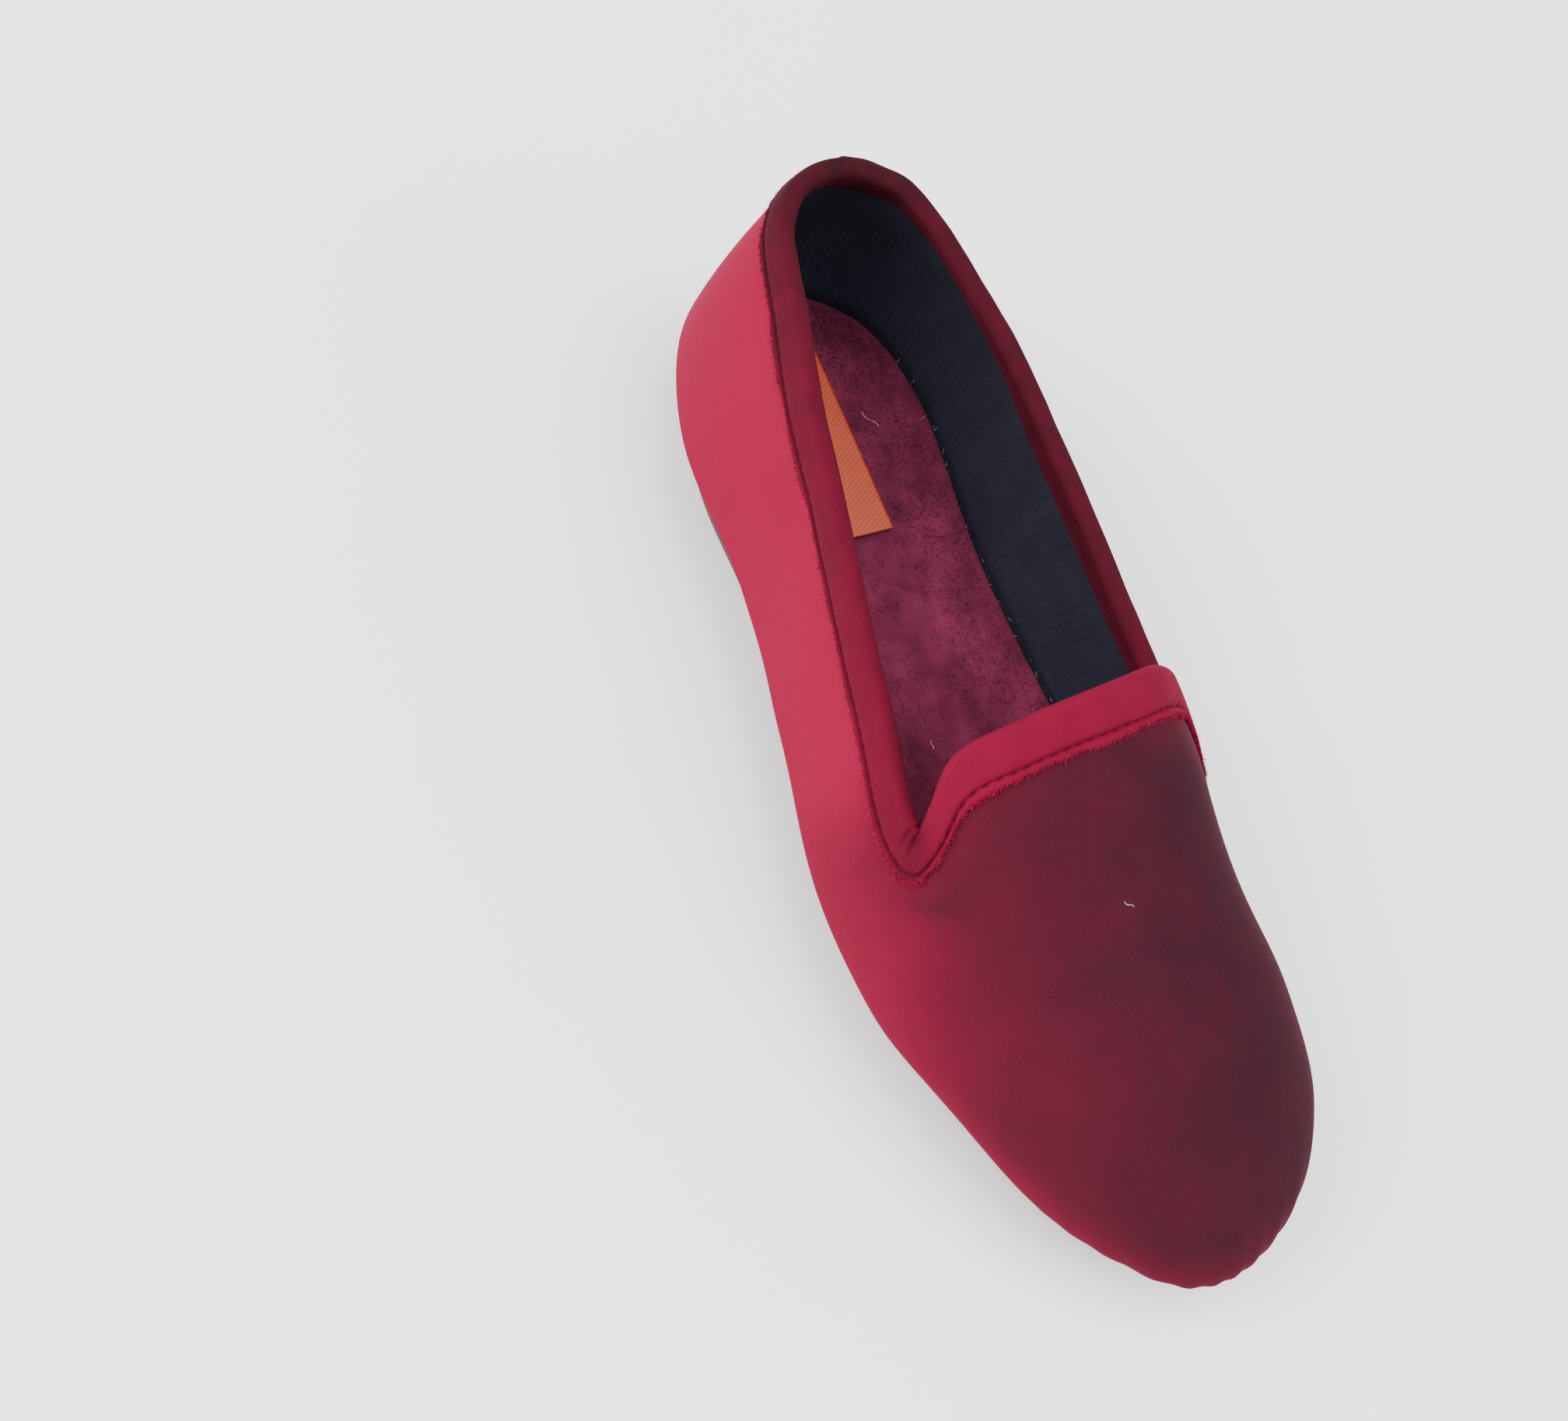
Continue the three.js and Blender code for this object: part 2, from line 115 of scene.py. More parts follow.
# Curves of the last
def smooth(xs, ys, place, period=0):
    """Cubic through the rows of a table; a row's slope is weighted from its two neighbours' rises.
    With a period the rows go round in a ring."""
    laps = [-period, 0, period] if period else [0]
    xs = np.concatenate([np.asarray(xs, float) + lap for lap in laps])
    ys = np.concatenate([np.asarray(ys, float) for _ in laps])
    steps = np.diff(xs)
    rises = np.diff(ys) / steps
    inner = (rises[:-1] * steps[1:] + rises[1:] * steps[:-1]) / (steps[:-1] + steps[1:])
    slopes = np.concatenate([rises[:1], inner, rises[-1:]])
    place = np.clip(place, xs[0], xs[-1])
    i = np.clip(np.searchsorted(xs, place, side="right") - 1, 0, len(steps) - 1)
    t = (place - xs[i]) / steps[i]
    start = (1 + 2 * t) * (1 - t) ** 2 * ys[i] + t * (1 - t) ** 2 * steps[i] * slopes[i]
    end = t * t * (3 - 2 * t) * ys[i + 1] + t * t * (t - 1) * steps[i] * slopes[i + 1]
    return start + end


def mix(a, b, share):
    """The value that lies the given share of the way from a to b."""
    return a + (b - a) * share


def fade(value, low, high):
    """0 below low, 1 above high, and a soft S between them."""
    t = np.clip((value - low) / (high - low), 0, 1)
    return t * t * (3 - 2 * t)


def bell(value, middle, reach):
    """1 at the middle, falling away on both sides as a bell of that reach."""
    return np.exp(-(((value - middle) / reach) ** 2))


def foot_angle(x):
    """Angle whose cosine runs from the back of the heel to the tip of the toe."""
    return np.arccos(np.clip(1 - 2 * x / LENGTH, -1, 1))


ROUND_ANGLES = np.concatenate([[0], foot_angle(np.array(WIDTHS["at"]) * LENGTH), [np.pi]])
ROUNDS = {
    side: np.concatenate(
        [[HEEL_ROUND], np.array(WIDTHS[side]) / np.sin(ROUND_ANGLES[1:-1]), [TOE_ROUND]]
    )
    for side in ("outer", "inner")
}


def half_width(x, side):
    """Half width of the widest line: a roundness from the table times the sine of the foot angle."""
    angle = foot_angle(x)
    inner = smooth(ROUND_ANGLES, ROUNDS["inner"], angle)
    outer = smooth(ROUND_ANGLES, ROUNDS["outer"], angle)
    return np.where(side > 0, inner, outer) * np.sin(angle)


def seat_height(x):
    """Height of the sole's top along the foot."""
    return smooth(LEVELS["at"], LEVELS["seat"], x / LENGTH)


def insole_top(x):
    """Height of the insole's top along the foot."""
    return seat_height(x) + GAP + INSOLE


def widest_height(x):
    """Height of the widest line along the foot."""
    return smooth(LEVELS["at"], LEVELS["widest"], x / LENGTH)


def crown(x):
    """1 along the ridge, dying away as a quarter ellipse at the toe and at the heel."""
    toe = np.clip((x - LENGTH + TOE_DOME) / TOE_DOME, 0, 1)
    heel = np.clip((HEEL_DOME - x) / HEEL_DOME, 0, 1)
    return np.sqrt((1 - toe**2) * (1 - heel**2))


def ridge_lean(x):
    """How far the ridge leans to the inner side."""
    return smooth(RIDGE["at"], RIDGE["lean"], x / LENGTH) * crown(x) ** 2


def wall_height(x, y):
    """Height above the widest line: the ridge's height over it, times the crown, times a rounded
    section that falls from the ridge to the widest line."""
    lean = ridge_lean(x)
    side = np.where(y >= lean, 1, -1)
    reach = np.maximum(half_width(x, side) - side * lean, 0.001)
    share = np.clip(side * (y - lean) / reach, 0, 1)
    foot = widest_height(x)
    ridge = smooth(RIDGE["at"], RIDGE["height"], x / LENGTH)
    return foot + (ridge - foot) * crown(x) * np.sqrt(1 - share**SHOULDER_POWER)


def wall_point(station, side, spread):
    """Point of the upper's outside on the line from the ridge (spread 0) over the widest line (1)
    to where the wall tucks in to meet the sole."""
    spine = HALF + SPINE_SHARE * (station - HALF)
    lean = ridge_lean(spine)
    reach_x = station - spine
    reach_y = side * half_width(station, side) - lean
    below = np.maximum(spread - 1, 0) / TUCK_SPREAD
    tucked = 1 - TUCK * below**2 / (np.hypot(reach_x, reach_y) + 0.001)
    share = np.where(spread <= 1, np.sin(np.minimum(spread, 1) * np.pi / 2), tucked)
    x = spine + reach_x * share
    y = lean + reach_y * share
    under = mix(widest_height(station), seat_height(x) + GAP, below)
    return np.stack([x, y, np.where(spread <= 1, wall_height(x, y), under)], -1)


def flat_place(station, side, spread):
    """The wall laid out flat: the place in plan that belongs to a station and a spread."""
    x = HALF + (station - HALF) * mix(SPINE_SHARE, 1, spread)
    return np.stack([x, side * half_width(station, side) * spread], -1)


def wall_from_flat(place):
    """The way back from a flat place to the wall, by halving the spread until the width agrees."""
    side = np.where(place[..., 1] >= 0, 1, -1)
    low = np.zeros(place.shape[:-1])
    high = np.full(place.shape[:-1], 1 + 1.2 * TUCK_SPREAD)
    for _ in range(HALVINGS):
        middle = (low + high) / 2
        station = HALF + (place[..., 0] - HALF) / mix(SPINE_SHARE, 1, middle)
        inside = (station > 0) & (station < LENGTH)
        over = np.where(inside, half_width(station, side), 0) * middle > np.abs(place[..., 1])
        high = np.where(over, middle, high)
        low = np.where(over, low, middle)
    station = HALF + (place[..., 0] - HALF) / mix(SPINE_SHARE, 1, high)
    return wall_point(np.clip(station, 0, LENGTH), side, high)


def topline():
    """Foot angles and flat places of the topline's rows: round the heel at even steps with the
    quarter's heights, and over the instep row by row."""
    quarter = np.arange(-QUARTER["foot"][-1], QUARTER["foot"][-1] + 1, QUARTER_STEP)
    feet = np.concatenate([quarter, TAB["foot"]])
    at = np.concatenate([(1 - np.cos(np.radians(quarter))) / 2, TAB["at"]])
    mirrored = np.concatenate([-np.array(QUARTER["foot"][:0:-1]), QUARTER["foot"]])
    heights = np.concatenate([QUARTER["height"][:0:-1], QUARTER["height"]])
    height = np.concatenate([smooth(mirrored, heights, quarter), TAB["height"]])
    side = np.where((feet >= 0) & (feet <= 180), 1, -1)
    low = np.zeros(len(feet))
    high = np.ones(len(feet))
    for _ in range(HALVINGS):
        middle = (low + high) / 2
        above = wall_point(at * LENGTH, side, middle)[:, 2] > height
        low = np.where(above, middle, low)
        high = np.where(above, high, middle)
    return feet, flat_place(at * LENGTH, side, high)


TOPLINE_FEET, TOPLINE_PLACES = topline()


def shell(foot, rise):
    """Outside of the upper: foot angle in degrees round the shoe (0 at the back of the heel, the
    inner side up to 180, then the outer side), rise 0 at the sole and 1 at the topline."""
    turn = np.mod(foot, 360)
    station = HALF * (1 - np.cos(np.radians(turn)))
    edge = flat_place(station, np.where(turn <= 180, 1, -1), 1 + TUCK_SPREAD)
    top = np.stack([smooth(TOPLINE_FEET, TOPLINE_PLACES[:, k], turn, 360) for k in (0, 1)], -1)
    return wall_from_flat(mix(edge, top, rise[..., None]))


def unit(vectors):
    """Vectors of length one."""
    return vectors / np.maximum(np.linalg.norm(vectors, axis=-1, keepdims=True), 1e-12)


def shell_grid(feet, rises):
    """Points of the shell on a grid and its outward directions: the cross product of the steps up
    the wall and along the shoe."""
    foot = np.broadcast_to(feet[:, None], rises.shape)
    points = shell(foot, rises)
    along = np.roll(points, -1, 0) - np.roll(points, 1, 0)
    up = np.gradient(points, axis=1)
    return points, unit(np.cross(up, along))


def wall_lengths(feet):
    """Length of the wall from sole to topline at each foot angle, twice its upper half."""
    top = shell(feet, np.ones(len(feet)))
    half = shell(feet, np.full(len(feet), 0.5))
    return 2 * np.linalg.norm(top - half, axis=-1)


def feather_line(feet, out):
    """The line where the upper meets the sole, seen from above, moved out sideways."""
    line = shell(feet, np.zeros(len(feet)))[:, :2]
    ahead = shell(feet + 0.5, np.zeros(len(feet)))[:, :2]
    behind = shell(feet - 0.5, np.zeros(len(feet)))[:, :2]
    along = unit(ahead - behind)
    sideways = np.stack([-along[:, 1], along[:, 0]], -1)
    return line[:, None, :] + np.asarray(out)[None, :, None] * sideways[:, None, :]


def even_feet(count):
    """Foot angles at even steps round the shoe."""
    return np.arange(count) * 360 / count


def ripple(points, wave, seed, count=24):
    """Soft unevenness from -1 to 1: the mean of plane waves of about that wavelength in random
    directions, from a seeded generator."""
    draw = np.random.default_rng(seed)
    ways = unit(draw.normal(size=(count, 3)))
    scale = 2 * np.pi / (wave * draw.uniform(0.7, 1.5, count))
    phase = draw.uniform(0, 2 * np.pi, count)
    return np.sin((points @ ways.T) * scale + phase).mean(-1) * np.sqrt(count) / 2


# Meshes
def grid_faces(rows, columns, ring_rows, ring_columns):
    """Four-sided faces over a grid of points; a ring closes on itself that way round."""
    i = np.arange(rows if ring_rows else rows - 1)[:, None]
    j = np.arange(columns if ring_columns else columns - 1)[None, :]
    below = (i + 1) % rows
    beside = (j + 1) % columns
    corners = [i * columns + j, below * columns + j, below * columns + beside, i * columns + beside]
    return np.stack(np.broadcast_arrays(*corners), -1).reshape(-1, 4)


def slab_faces(rows, columns):
    """Faces of a closed slab whose points are an upper grid and then a lower one of the same size: both
    grids, the lower one turned over, and a strip round their borders."""
    upper = grid_faces(rows, columns, False, False)
    index = np.arange(rows * columns).reshape(rows, columns)
    border = np.concatenate([index[:-1, 0], index[-1, :-1], index[:0:-1, -1], index[0, :0:-1]])
    after = np.roll(border, -1)
    below = rows * columns
    strip = np.stack([after, border, border + below, after + below], -1)
    return np.concatenate([upper, upper[:, ::-1] + below, strip])


def volume(points, faces):
    """Signed volume inside closed four-sided faces, from the corner at the origin."""
    a, b, c, d = (points[faces[:, k]] for k in range(4))
    return np.sum(a * np.cross(b, c)) + np.sum(a * np.cross(c, d))


def make_piece(name, points, faces, material, slot, replaced=(), marks=None):
    """A mesh object from points in millimetres: four-sided faces turned outwards, shaded smooth, with its
    marks kept as point attributes, riding on the one body."""
    points = points.reshape(-1, 3)
    faces = np.asarray(faces)
    if faces.shape[1] == 4 and volume(points - points.mean(0), faces) < 0:
        faces = faces[:, ::-1]
    mesh = bpy.data.meshes.new(name)
    mesh.from_pydata((points - CENTRE) * MILLIMETRE, [], faces.tolist())
    for mark, values in (marks or {}).items():
        attribute = mesh.attributes.new(mark, "FLOAT", "POINT")
        attribute.data.foreach_set("value", np.asarray(values, np.float32).ravel())
    mesh.polygons.foreach_set("use_smooth", np.full(len(mesh.polygons), True))
    mesh.materials.append(material)
    piece = bpy.data.objects.new(name, mesh)
    bpy.context.scene.collection.objects.link(piece)
    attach(piece, "root")
    for node in replaced:
        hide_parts(node)
    return piece


# Materials
def linear(code):
    """An sRGB hex colour as linear red, green, blue and alpha."""
    parts = np.array([int(code[k : k + 2], 16) for k in (1, 3, 5)]) / 255
    return (*np.where(parts <= 0.04045, parts / 12.92, ((parts + 0.055) / 1.055) ** 2.4), 1)


def add(material, kind, values=None, links=None, **settings):
    """Adds a node with its settings, its socket values and its links."""
    made = material.node_tree.nodes.new(kind)
    for key, value in settings.items():
        setattr(made, key, value)
    for socket, value in (values or {}).items():
        made.inputs[socket].default_value = value
    for socket, source in (links or {}).items():
        material.node_tree.links.new(source, made.inputs[socket])
    return made


def per_metre(size):
    """Texture scale whose features are about that many millimetres wide."""
    return 1 / (size * MILLIMETRE)


def surface(name, dark, bright, shades, relief, depth, mark=None, lines=0, **sockets):
    """A material in two shades. Each row of shades is a noise's size in millimetres and how far it
    sways the mix; a mark is a point attribute that sets the mix, and lines are sine ribs counted by the
    attribute of that name. The noise of the relief's size, and the ribs, stand as bumps of that depth."""
    material = bpy.data.materials.new(name)
    material.use_nodes = True
    links = material.node_tree.links
    shader = material.node_tree.nodes["Principled BSDF"]
    for socket, value in sockets.items():
        shader.inputs[socket.replace("_", " ")].default_value = value
    place = add(material, "ShaderNodeTexCoord").outputs["Object"]
    share = add(material, "ShaderNodeValue").outputs[0]
    share.default_value = 0.5
    if mark:
        share = add(material, "ShaderNodeAttribute", attribute_name=mark).outputs["Fac"]
    for size, sway in shades:
        noise = add(
            material, "ShaderNodeTexNoise", {"Scale": per_metre(size), "Detail": 3.0}, {"Vector": place}
        )
        part = add(
            material,
            "ShaderNodeMath",
            {1: sway, 2: -sway / 2},
            {0: noise.outputs["Fac"]},
            operation="MULTIPLY_ADD",
        )
        share = add(material, "ShaderNodeMath", None, {0: share, 1: part.outputs[0]}).outputs[0]
    grain = add(
        material, "ShaderNodeTexNoise", {"Scale": per_metre(relief), "Detail": 2.0}, {"Vector": place}
    )
    height = grain.outputs["Fac"]
    if lines:
        count = add(material, "ShaderNodeAttribute", attribute_name="lines").outputs["Fac"]
        angle = add(material, "ShaderNodeMath", {1: 2 * np.pi}, {0: count}, operation="MULTIPLY")
        wave = add(material, "ShaderNodeMath", None, {0: angle.outputs[0]}, operation="SINE")
        part = add(
            material, "ShaderNodeMath", {1: lines}, {0: wave.outputs[0]}, operation="MULTIPLY"
        ).outputs[0]
        share = add(material, "ShaderNodeMath", None, {0: share, 1: part}).outputs[0]
        height = add(material, "ShaderNodeMath", None, {0: height, 1: part}).outputs[0]
    share = add(material, "ShaderNodeClamp", None, {"Value": share}).outputs[0]
    colour = add(
        material,
        "ShaderNodeMix",
        {"A": linear(dark), "B": linear(bright)},
        {"Factor": share},
        data_type="RGBA",
    )
    bump = add(
        material,
        "ShaderNodeBump",
        {"Strength": 0.5, "Distance": depth * MILLIMETRE},
        {"Height": height},
    )
    links.new(next(s for s in colour.outputs if s.type == "RGBA"), shader.inputs["Base Color"])
    links.new(bump.outputs["Normal"], shader.inputs["Normal"])
    return material


# Cut-pile velvet, no gloss: its dark and bright are painted shade and painted light, set by the point
# mark, dark on the vamp and bright down the outer wall; the tips stand about 0.3 mm apart and are drawn at
# 0.6 mm so that they show
PILE = {"Roughness": 0.95, "Specular_IOR_Level": 0.1, "Sheen_Weight": 0.12, "Sheen_Roughness": 0.3}
upper_velvet = surface(
    "cut_pile_velvet",
    "#2c0d18",
    "#760529",
    [(24, 0.24), (9, 0.1), (0.6, 0.16)],
    0.6,
    0.2,
    "painted_light",
    Sheen_Tint=linear("#c01c5c"),
    **PILE,
)
# Binding velvet: the same cloth cut on the bias, brushed more unevenly along the fold; its dark and bright
# are painted shade and painted light, set along the topline by the point mark
binding_velvet = surface(
    "binding_velvet",
    "#24080f",
    "#6c0426",
    [(7, 0.3), (0.6, 0.2)],
    0.6,
    0.25,
    "painted_light",
    Sheen_Tint=linear("#b81c54"),
    **PILE,
)
# Brushed knit lining: dark navy, faint ribs, a soft fuzz that keeps it matt
knit = surface(
    "brushed_knit",
    "#10131d",
    "#2c2b38",
    [(9, 0.5), (0.7, 0.5)],
    0.7,
    0.25,
    None,
    0.05,
    Roughness=1.0,
    Specular_IOR_Level=0.1,
)
# Plush fleece: pile lying in patches, each a little paler or deeper
plush = surface(
    "plush_fleece",
    "#360f20",
    "#7c2c49",
    [(16, 1.1), (5, 0.7), (0.8, 0.25)],
    0.9,
    0.3,
    Roughness=1.0,
    Specular_IOR_Level=0.1,
    Sheen_Weight=0.3,
    Sheen_Roughness=0.4,
    Sheen_Tint=linear("#c06a84"),
)
# Satin-woven ribbon: slanting floats that catch the light
woven = surface(
    "satin_woven_ribbon",
    "#86290f",
    "#c04a22",
    [(8, 0.3), (0.5, 0.3)],
    0.4,
    0.12,
    None,
    0.22,
    Roughness=0.5,
)
# Moulded rubber: matt, a fine stipple from the mould
rubber = surface(
    "moulded_rubber",
    "#301019",
    "#54212c",
    [(22, 0.4), (0.8, 0.5)],
    0.7,
    0.15,
    Roughness=0.6,
    Specular_IOR_Level=0.25,
)
# Sewing thread: dark and dull, sunk in the seam
thread = surface(
    "sewing_thread", "#2c0812", "#4c0c1e", [(1.5, 0.6)], 0.4, 0.1, Roughness=0.9, Specular_IOR_Level=0.1
)
# Loose pile: single fibres of the velvet and the plush, paler or deeper at random
fibre = surface(
    "loose_pile", "#6c0a26", "#a82044", [(2, 0.9)], 0.5, 0.1, Roughness=1.0, Specular_IOR_Level=0.05
)
# Pale lint: a few stray fibres
lint = surface("pale_lint", "#c9b8b4", "#efe6e2", [(2, 0.8)], 0.5, 0.1, Roughness=0.9)


# Small repeated shapes
# A fibre's middle and tip: shares of its length along the root's way, and aside with the droop
FIBRE_MIDDLE = {"along": 0.55, "aside": 0.2}
FIBRE_TIP = {"along": 0.85, "aside": 0.6}
FIBRES = {
    "fray": {"seed": 31, "count": 5200, "length": (0.4, 1.1), "width": 0.14},
    "pile": {"seed": 41, "count": 16000, "length": (0.5, 1.2), "width": 0.13},
    "fuzz": {"seed": 51, "count": 5000, "length": (0.4, 0.9), "width": 0.12},
    "edge_lint": {"seed": 61, "count": 45, "length": (0.8, 2.4), "width": 0.06},
}
TUBE_SIDES = 6


def spikes(roots, ways, lengths, width, droop):
    """Closed bent fibres, all at once: a small triangle at the root, a narrower one half way that is
    pushed aside by the droop, and a point. Returns points and three-cornered faces."""
    side = unit(np.cross(ways, [0.31, 0.52, 0.79]))
    other = np.cross(ways, side)
    turns = np.radians([0, 120, 240])
    around = side[:, None] * np.cos(turns)[None, :, None] + other[:, None] * np.sin(turns)[None, :, None]
    reach = lengths[:, None, None]
    root = roots[:, None] + around * width / 2
    middle_way = ways * FIBRE_MIDDLE["along"] + droop * FIBRE_MIDDLE["aside"]
    middle = roots[:, None] + middle_way[:, None] * reach + around * width / 3
    tip_way = ways * FIBRE_TIP["along"] + droop * FIBRE_TIP["aside"]
    tip = roots[:, None] + tip_way[:, None] * reach
    points = np.concatenate([root, middle, tip], 1)
    one = [[0, 2, 1]]
    for k in range(3):
        n = (k + 1) % 3
        one += [[k, n, n + 3], [k, n + 3, k + 3], [k + 3, n + 3, 6]]
    faces = np.array(one)[None] + points.shape[1] * np.arange(len(roots))[:, None, None]
    return points.reshape(-1, 3), faces.reshape(-1, 3)


def tubes(paths, radii):
    """Tubes, open at their ends, along many short paths at once, with the radius given along the path."""
    along = unit(np.gradient(paths, axis=1))
    side = unit(np.cross(along, [0.12, 0.23, 0.97]))
    other = np.cross(along, side)
    turns = np.arange(TUBE_SIDES) * 2 * np.pi / TUBE_SIDES
    ring = (
        side[:, :, None] * np.cos(turns)[None, None, :, None]
        + other[:, :, None] * np.sin(turns)[None, None, :, None]
    )
    points = paths[:, :, None] + ring * radii[None, :, None, None]
    one = grid_faces(paths.shape[1], TUBE_SIDES, False, True)
    faces = one[None] + TUBE_SIDES * paths.shape[1] * np.arange(len(paths))[:, None, None]
    return points.reshape(-1, 3), faces.reshape(-1, 4)


def along_line(line, places):
    """Points at distances along a closed line, by straight interpolation."""
    closed = np.concatenate([line, line[:1]])
    gone = np.concatenate([[0], np.cumsum(np.linalg.norm(np.diff(closed, axis=0), axis=1))])
    return np.stack([np.interp(np.mod(places, gone[-1]), gone, closed[:, k]) for k in range(3)], -1)


def line_length(line):
    """Length of a closed line."""
    return np.linalg.norm(np.roll(line, -1, 0) - line, axis=1).sum()


# Upper: velvet outside and knit lining, each a closed ring from the sole up to the topline and back
def sheet_ring(points, out, outside, inside):
    """A closed sheet that follows the shell between two offsets: up the outside, then down the inside.
    The lower edge is level."""
    outer = points + out * np.asarray(outside)[..., None]
    inner = points + out * np.asarray(inside)[..., None]
    inner[:, 0, 2] = outer[:, 0, 2]
    return np.concatenate([outer, inner[:, ::-1]], 1)


CREASES = {
    "from": [(156, -47, 38.8), (157, -42, 45)],
    "to": [(166, -38, 48.6), (166, -34.5, 51)],
    "reach": [2.2, 4.0],
    "depth": [0.6, 0.25],
}
TOE_PUCKERS = {"from": 140, "full": (165, 200), "to": 225, "each": 5.6, "depth": 0.28, "up": 0.1}


def creases(points):
    """Soft troughs below the outer notch: each is a straight line, with a bell across it."""
    sunk = np.zeros(points.shape[:-1])
    for start, end, reach, depth in zip(*CREASES.values()):
        a = np.array(start, float)
        way = np.array(end, float) - a
        share = np.clip(((points - a) @ way) / (way @ way), 0, 1)
        away = np.linalg.norm(points - a - share[..., None] * way, axis=-1)
        sunk += depth * np.exp(-((away / reach) ** 2)) * np.sin(np.pi * np.clip(share, 0.1, 0.9))
    return sunk


def velvet_relief(points, feet, rises):
    """Offsets of the lasted velvet: a faint unevenness, the creases, and the gathers that fan out from
    the sole round the toe and die away up the wall."""
    full_from, full_to = TOE_PUCKERS["full"]
    around = fade(feet, TOE_PUCKERS["from"], full_from) * (1 - fade(feet, full_to, TOE_PUCKERS["to"]))
    wave = np.sin(2 * np.pi * feet / TOE_PUCKERS["each"] + 3 * np.sin(feet / 7))
    gathers = TOE_PUCKERS["depth"] * (around * wave)[:, None] * np.exp(-rises / TOE_PUCKERS["up"])
    return 0.15 * ripple(points, 26, 3) - creases(points) + gathers


# Shares of painted shade on the velvet, each with the places between which it comes in
VAMP_PAINTED_SHADE = {"from": 122, "to": 150, "slant": 0.5}
ACROSS_PAINTED_SHADE = [(0.72, -64, -38), (0.14, -48, -10), (0.08, -20, 15)]
EDGE_PAINTED_LIGHT = {"from": 14, "to": 28}
INNER_WALL_PAINTED_SHADE = {"share": 0.35, "from": 5, "to": 35}
DEEPEST_PAINTED_SHADE = 1.05
# Painted shade in the creases below the outer notch, as a share of the colour mix
CREASE_PAINTED_SHADE = 0.16


def painted_light_of(points):
    """Painted light on the velvet from 0 to 1: painted shade deep on the vamp, over its inner side and in
    the creases, painted light down the outer wall, round the heel and along the edge of the toe."""
    x, y, z = np.moveaxis(points, -1, 0)
    slant = VAMP_PAINTED_SHADE["slant"] * np.maximum(y, 0)
    vamp = fade(x, VAMP_PAINTED_SHADE["from"] - slant, VAMP_PAINTED_SHADE["to"] + slant)
    across = sum(share * fade(y, low, high) for share, low, high in ACROSS_PAINTED_SHADE)
    edge = fade(z, EDGE_PAINTED_LIGHT["from"], EDGE_PAINTED_LIGHT["to"])
    deep = vamp * across * (0.5 + 0.5 * edge)
    wall = INNER_WALL_PAINTED_SHADE["share"] * fade(y, INNER_WALL_PAINTED_SHADE["from"], INNER_WALL_PAINTED_SHADE["to"]) * (1 - vamp)
    return np.clip(1 - DEEPEST_PAINTED_SHADE * deep - wall - CREASE_PAINTED_SHADE * creases(points), 0, 1)


WALL_STEPS = 76
SHELL_COLUMNS = 440
VELVET_THICK = 1.05
shell_feet = even_feet(SHELL_COLUMNS)
shell_rises = np.tile((np.arange(WALL_STEPS + 1) / WALL_STEPS) ** 1.2, (SHELL_COLUMNS, 1))
shell_points, shell_out = shell_grid(shell_feet, shell_rises)
relief = velvet_relief(shell_points, shell_feet, shell_rises)
velvet_points = sheet_ring(shell_points, shell_out, relief, relief - VELVET_THICK)
# The velvet's mark paints light and shade into its colour
make_piece(
    "velvet_shell",
    velvet_points,
    grid_faces(*velvet_points.shape[:2], True, True),
    upper_velvet,
    "velvet",
    ["upper"],
    {"painted_light": painted_light_of(velvet_points)},
)
LINING_RIB = 2.4
LINING_GAP = 0.05
LINING_EVERY = 2
LINING_FOOT = {"out": -0.6, "clear": 2, "reach": 24, "even": 5, "fall": 0.3}
lining_out = shell_out[::LINING_EVERY, ::LINING_EVERY]
lining_at = shell_points[::LINING_EVERY, ::LINING_EVERY]
lining_along = np.cumsum(np.linalg.norm(np.gradient(lining_at, axis=0), axis=-1), 0)
flat_lining = np.full(lining_at.shape[:2], -VELVET_THICK - LINING_GAP)
lining_points = sheet_ring(lining_at, lining_out, flat_lining, np.full(lining_at.shape[:2], -WALL))


def draw_in_lining(ring):
    """The inside of the lining runs down to the edge of the insole in one soft curve: at the insole's
    top it is moved in to that edge, the shift dies away as a square up the wall, and below it the lining
    drops straight down behind the insole."""
    half = ring.shape[1] // 2
    inner = ring[:, half:].copy()
    feet = shell_feet[::LINING_EVERY]
    edge = feather_line(feet, [LINING_FOOT["out"]])[:, 0]
    low = insole_top(edge[:, 0])[:, None]
    above = inner[..., 2] - low
    level = np.sum(above > LINING_FOOT["clear"], 1) - 1
    shift = edge - inner[np.arange(len(feet)), level, :2]
    window = range(-LINING_FOOT["even"], LINING_FOOT["even"] + 1)
    shift = np.mean([np.roll(shift, k, 0) for k in window], 0)
    share = np.clip(1 - (above - LINING_FOOT["clear"]) / LINING_FOOT["reach"], 0, 1) ** 2
    inner[..., :2] += shift[:, None] * share[..., None]
    past = np.maximum(np.arange(inner.shape[1])[None] - level[:, None], 0)
    drop = low + LINING_FOOT["clear"] - LINING_FOOT["fall"] * past
    foot = np.concatenate([np.broadcast_to(edge[:, None], (*drop.shape, 2)), drop[..., None]], -1)
    inner = np.where(past[..., None] > 0, foot, inner)
    return np.concatenate([ring[:, :half], inner], 1)


lining_points = draw_in_lining(lining_points)
make_piece(
    "knit_lining",
    lining_points,
    grid_faces(*lining_points.shape[:2], True, True),
    knit,
    "velvet",
    marks={"lines": np.concatenate([lining_along, lining_along[:, ::-1]], 1) / LINING_RIB},
)

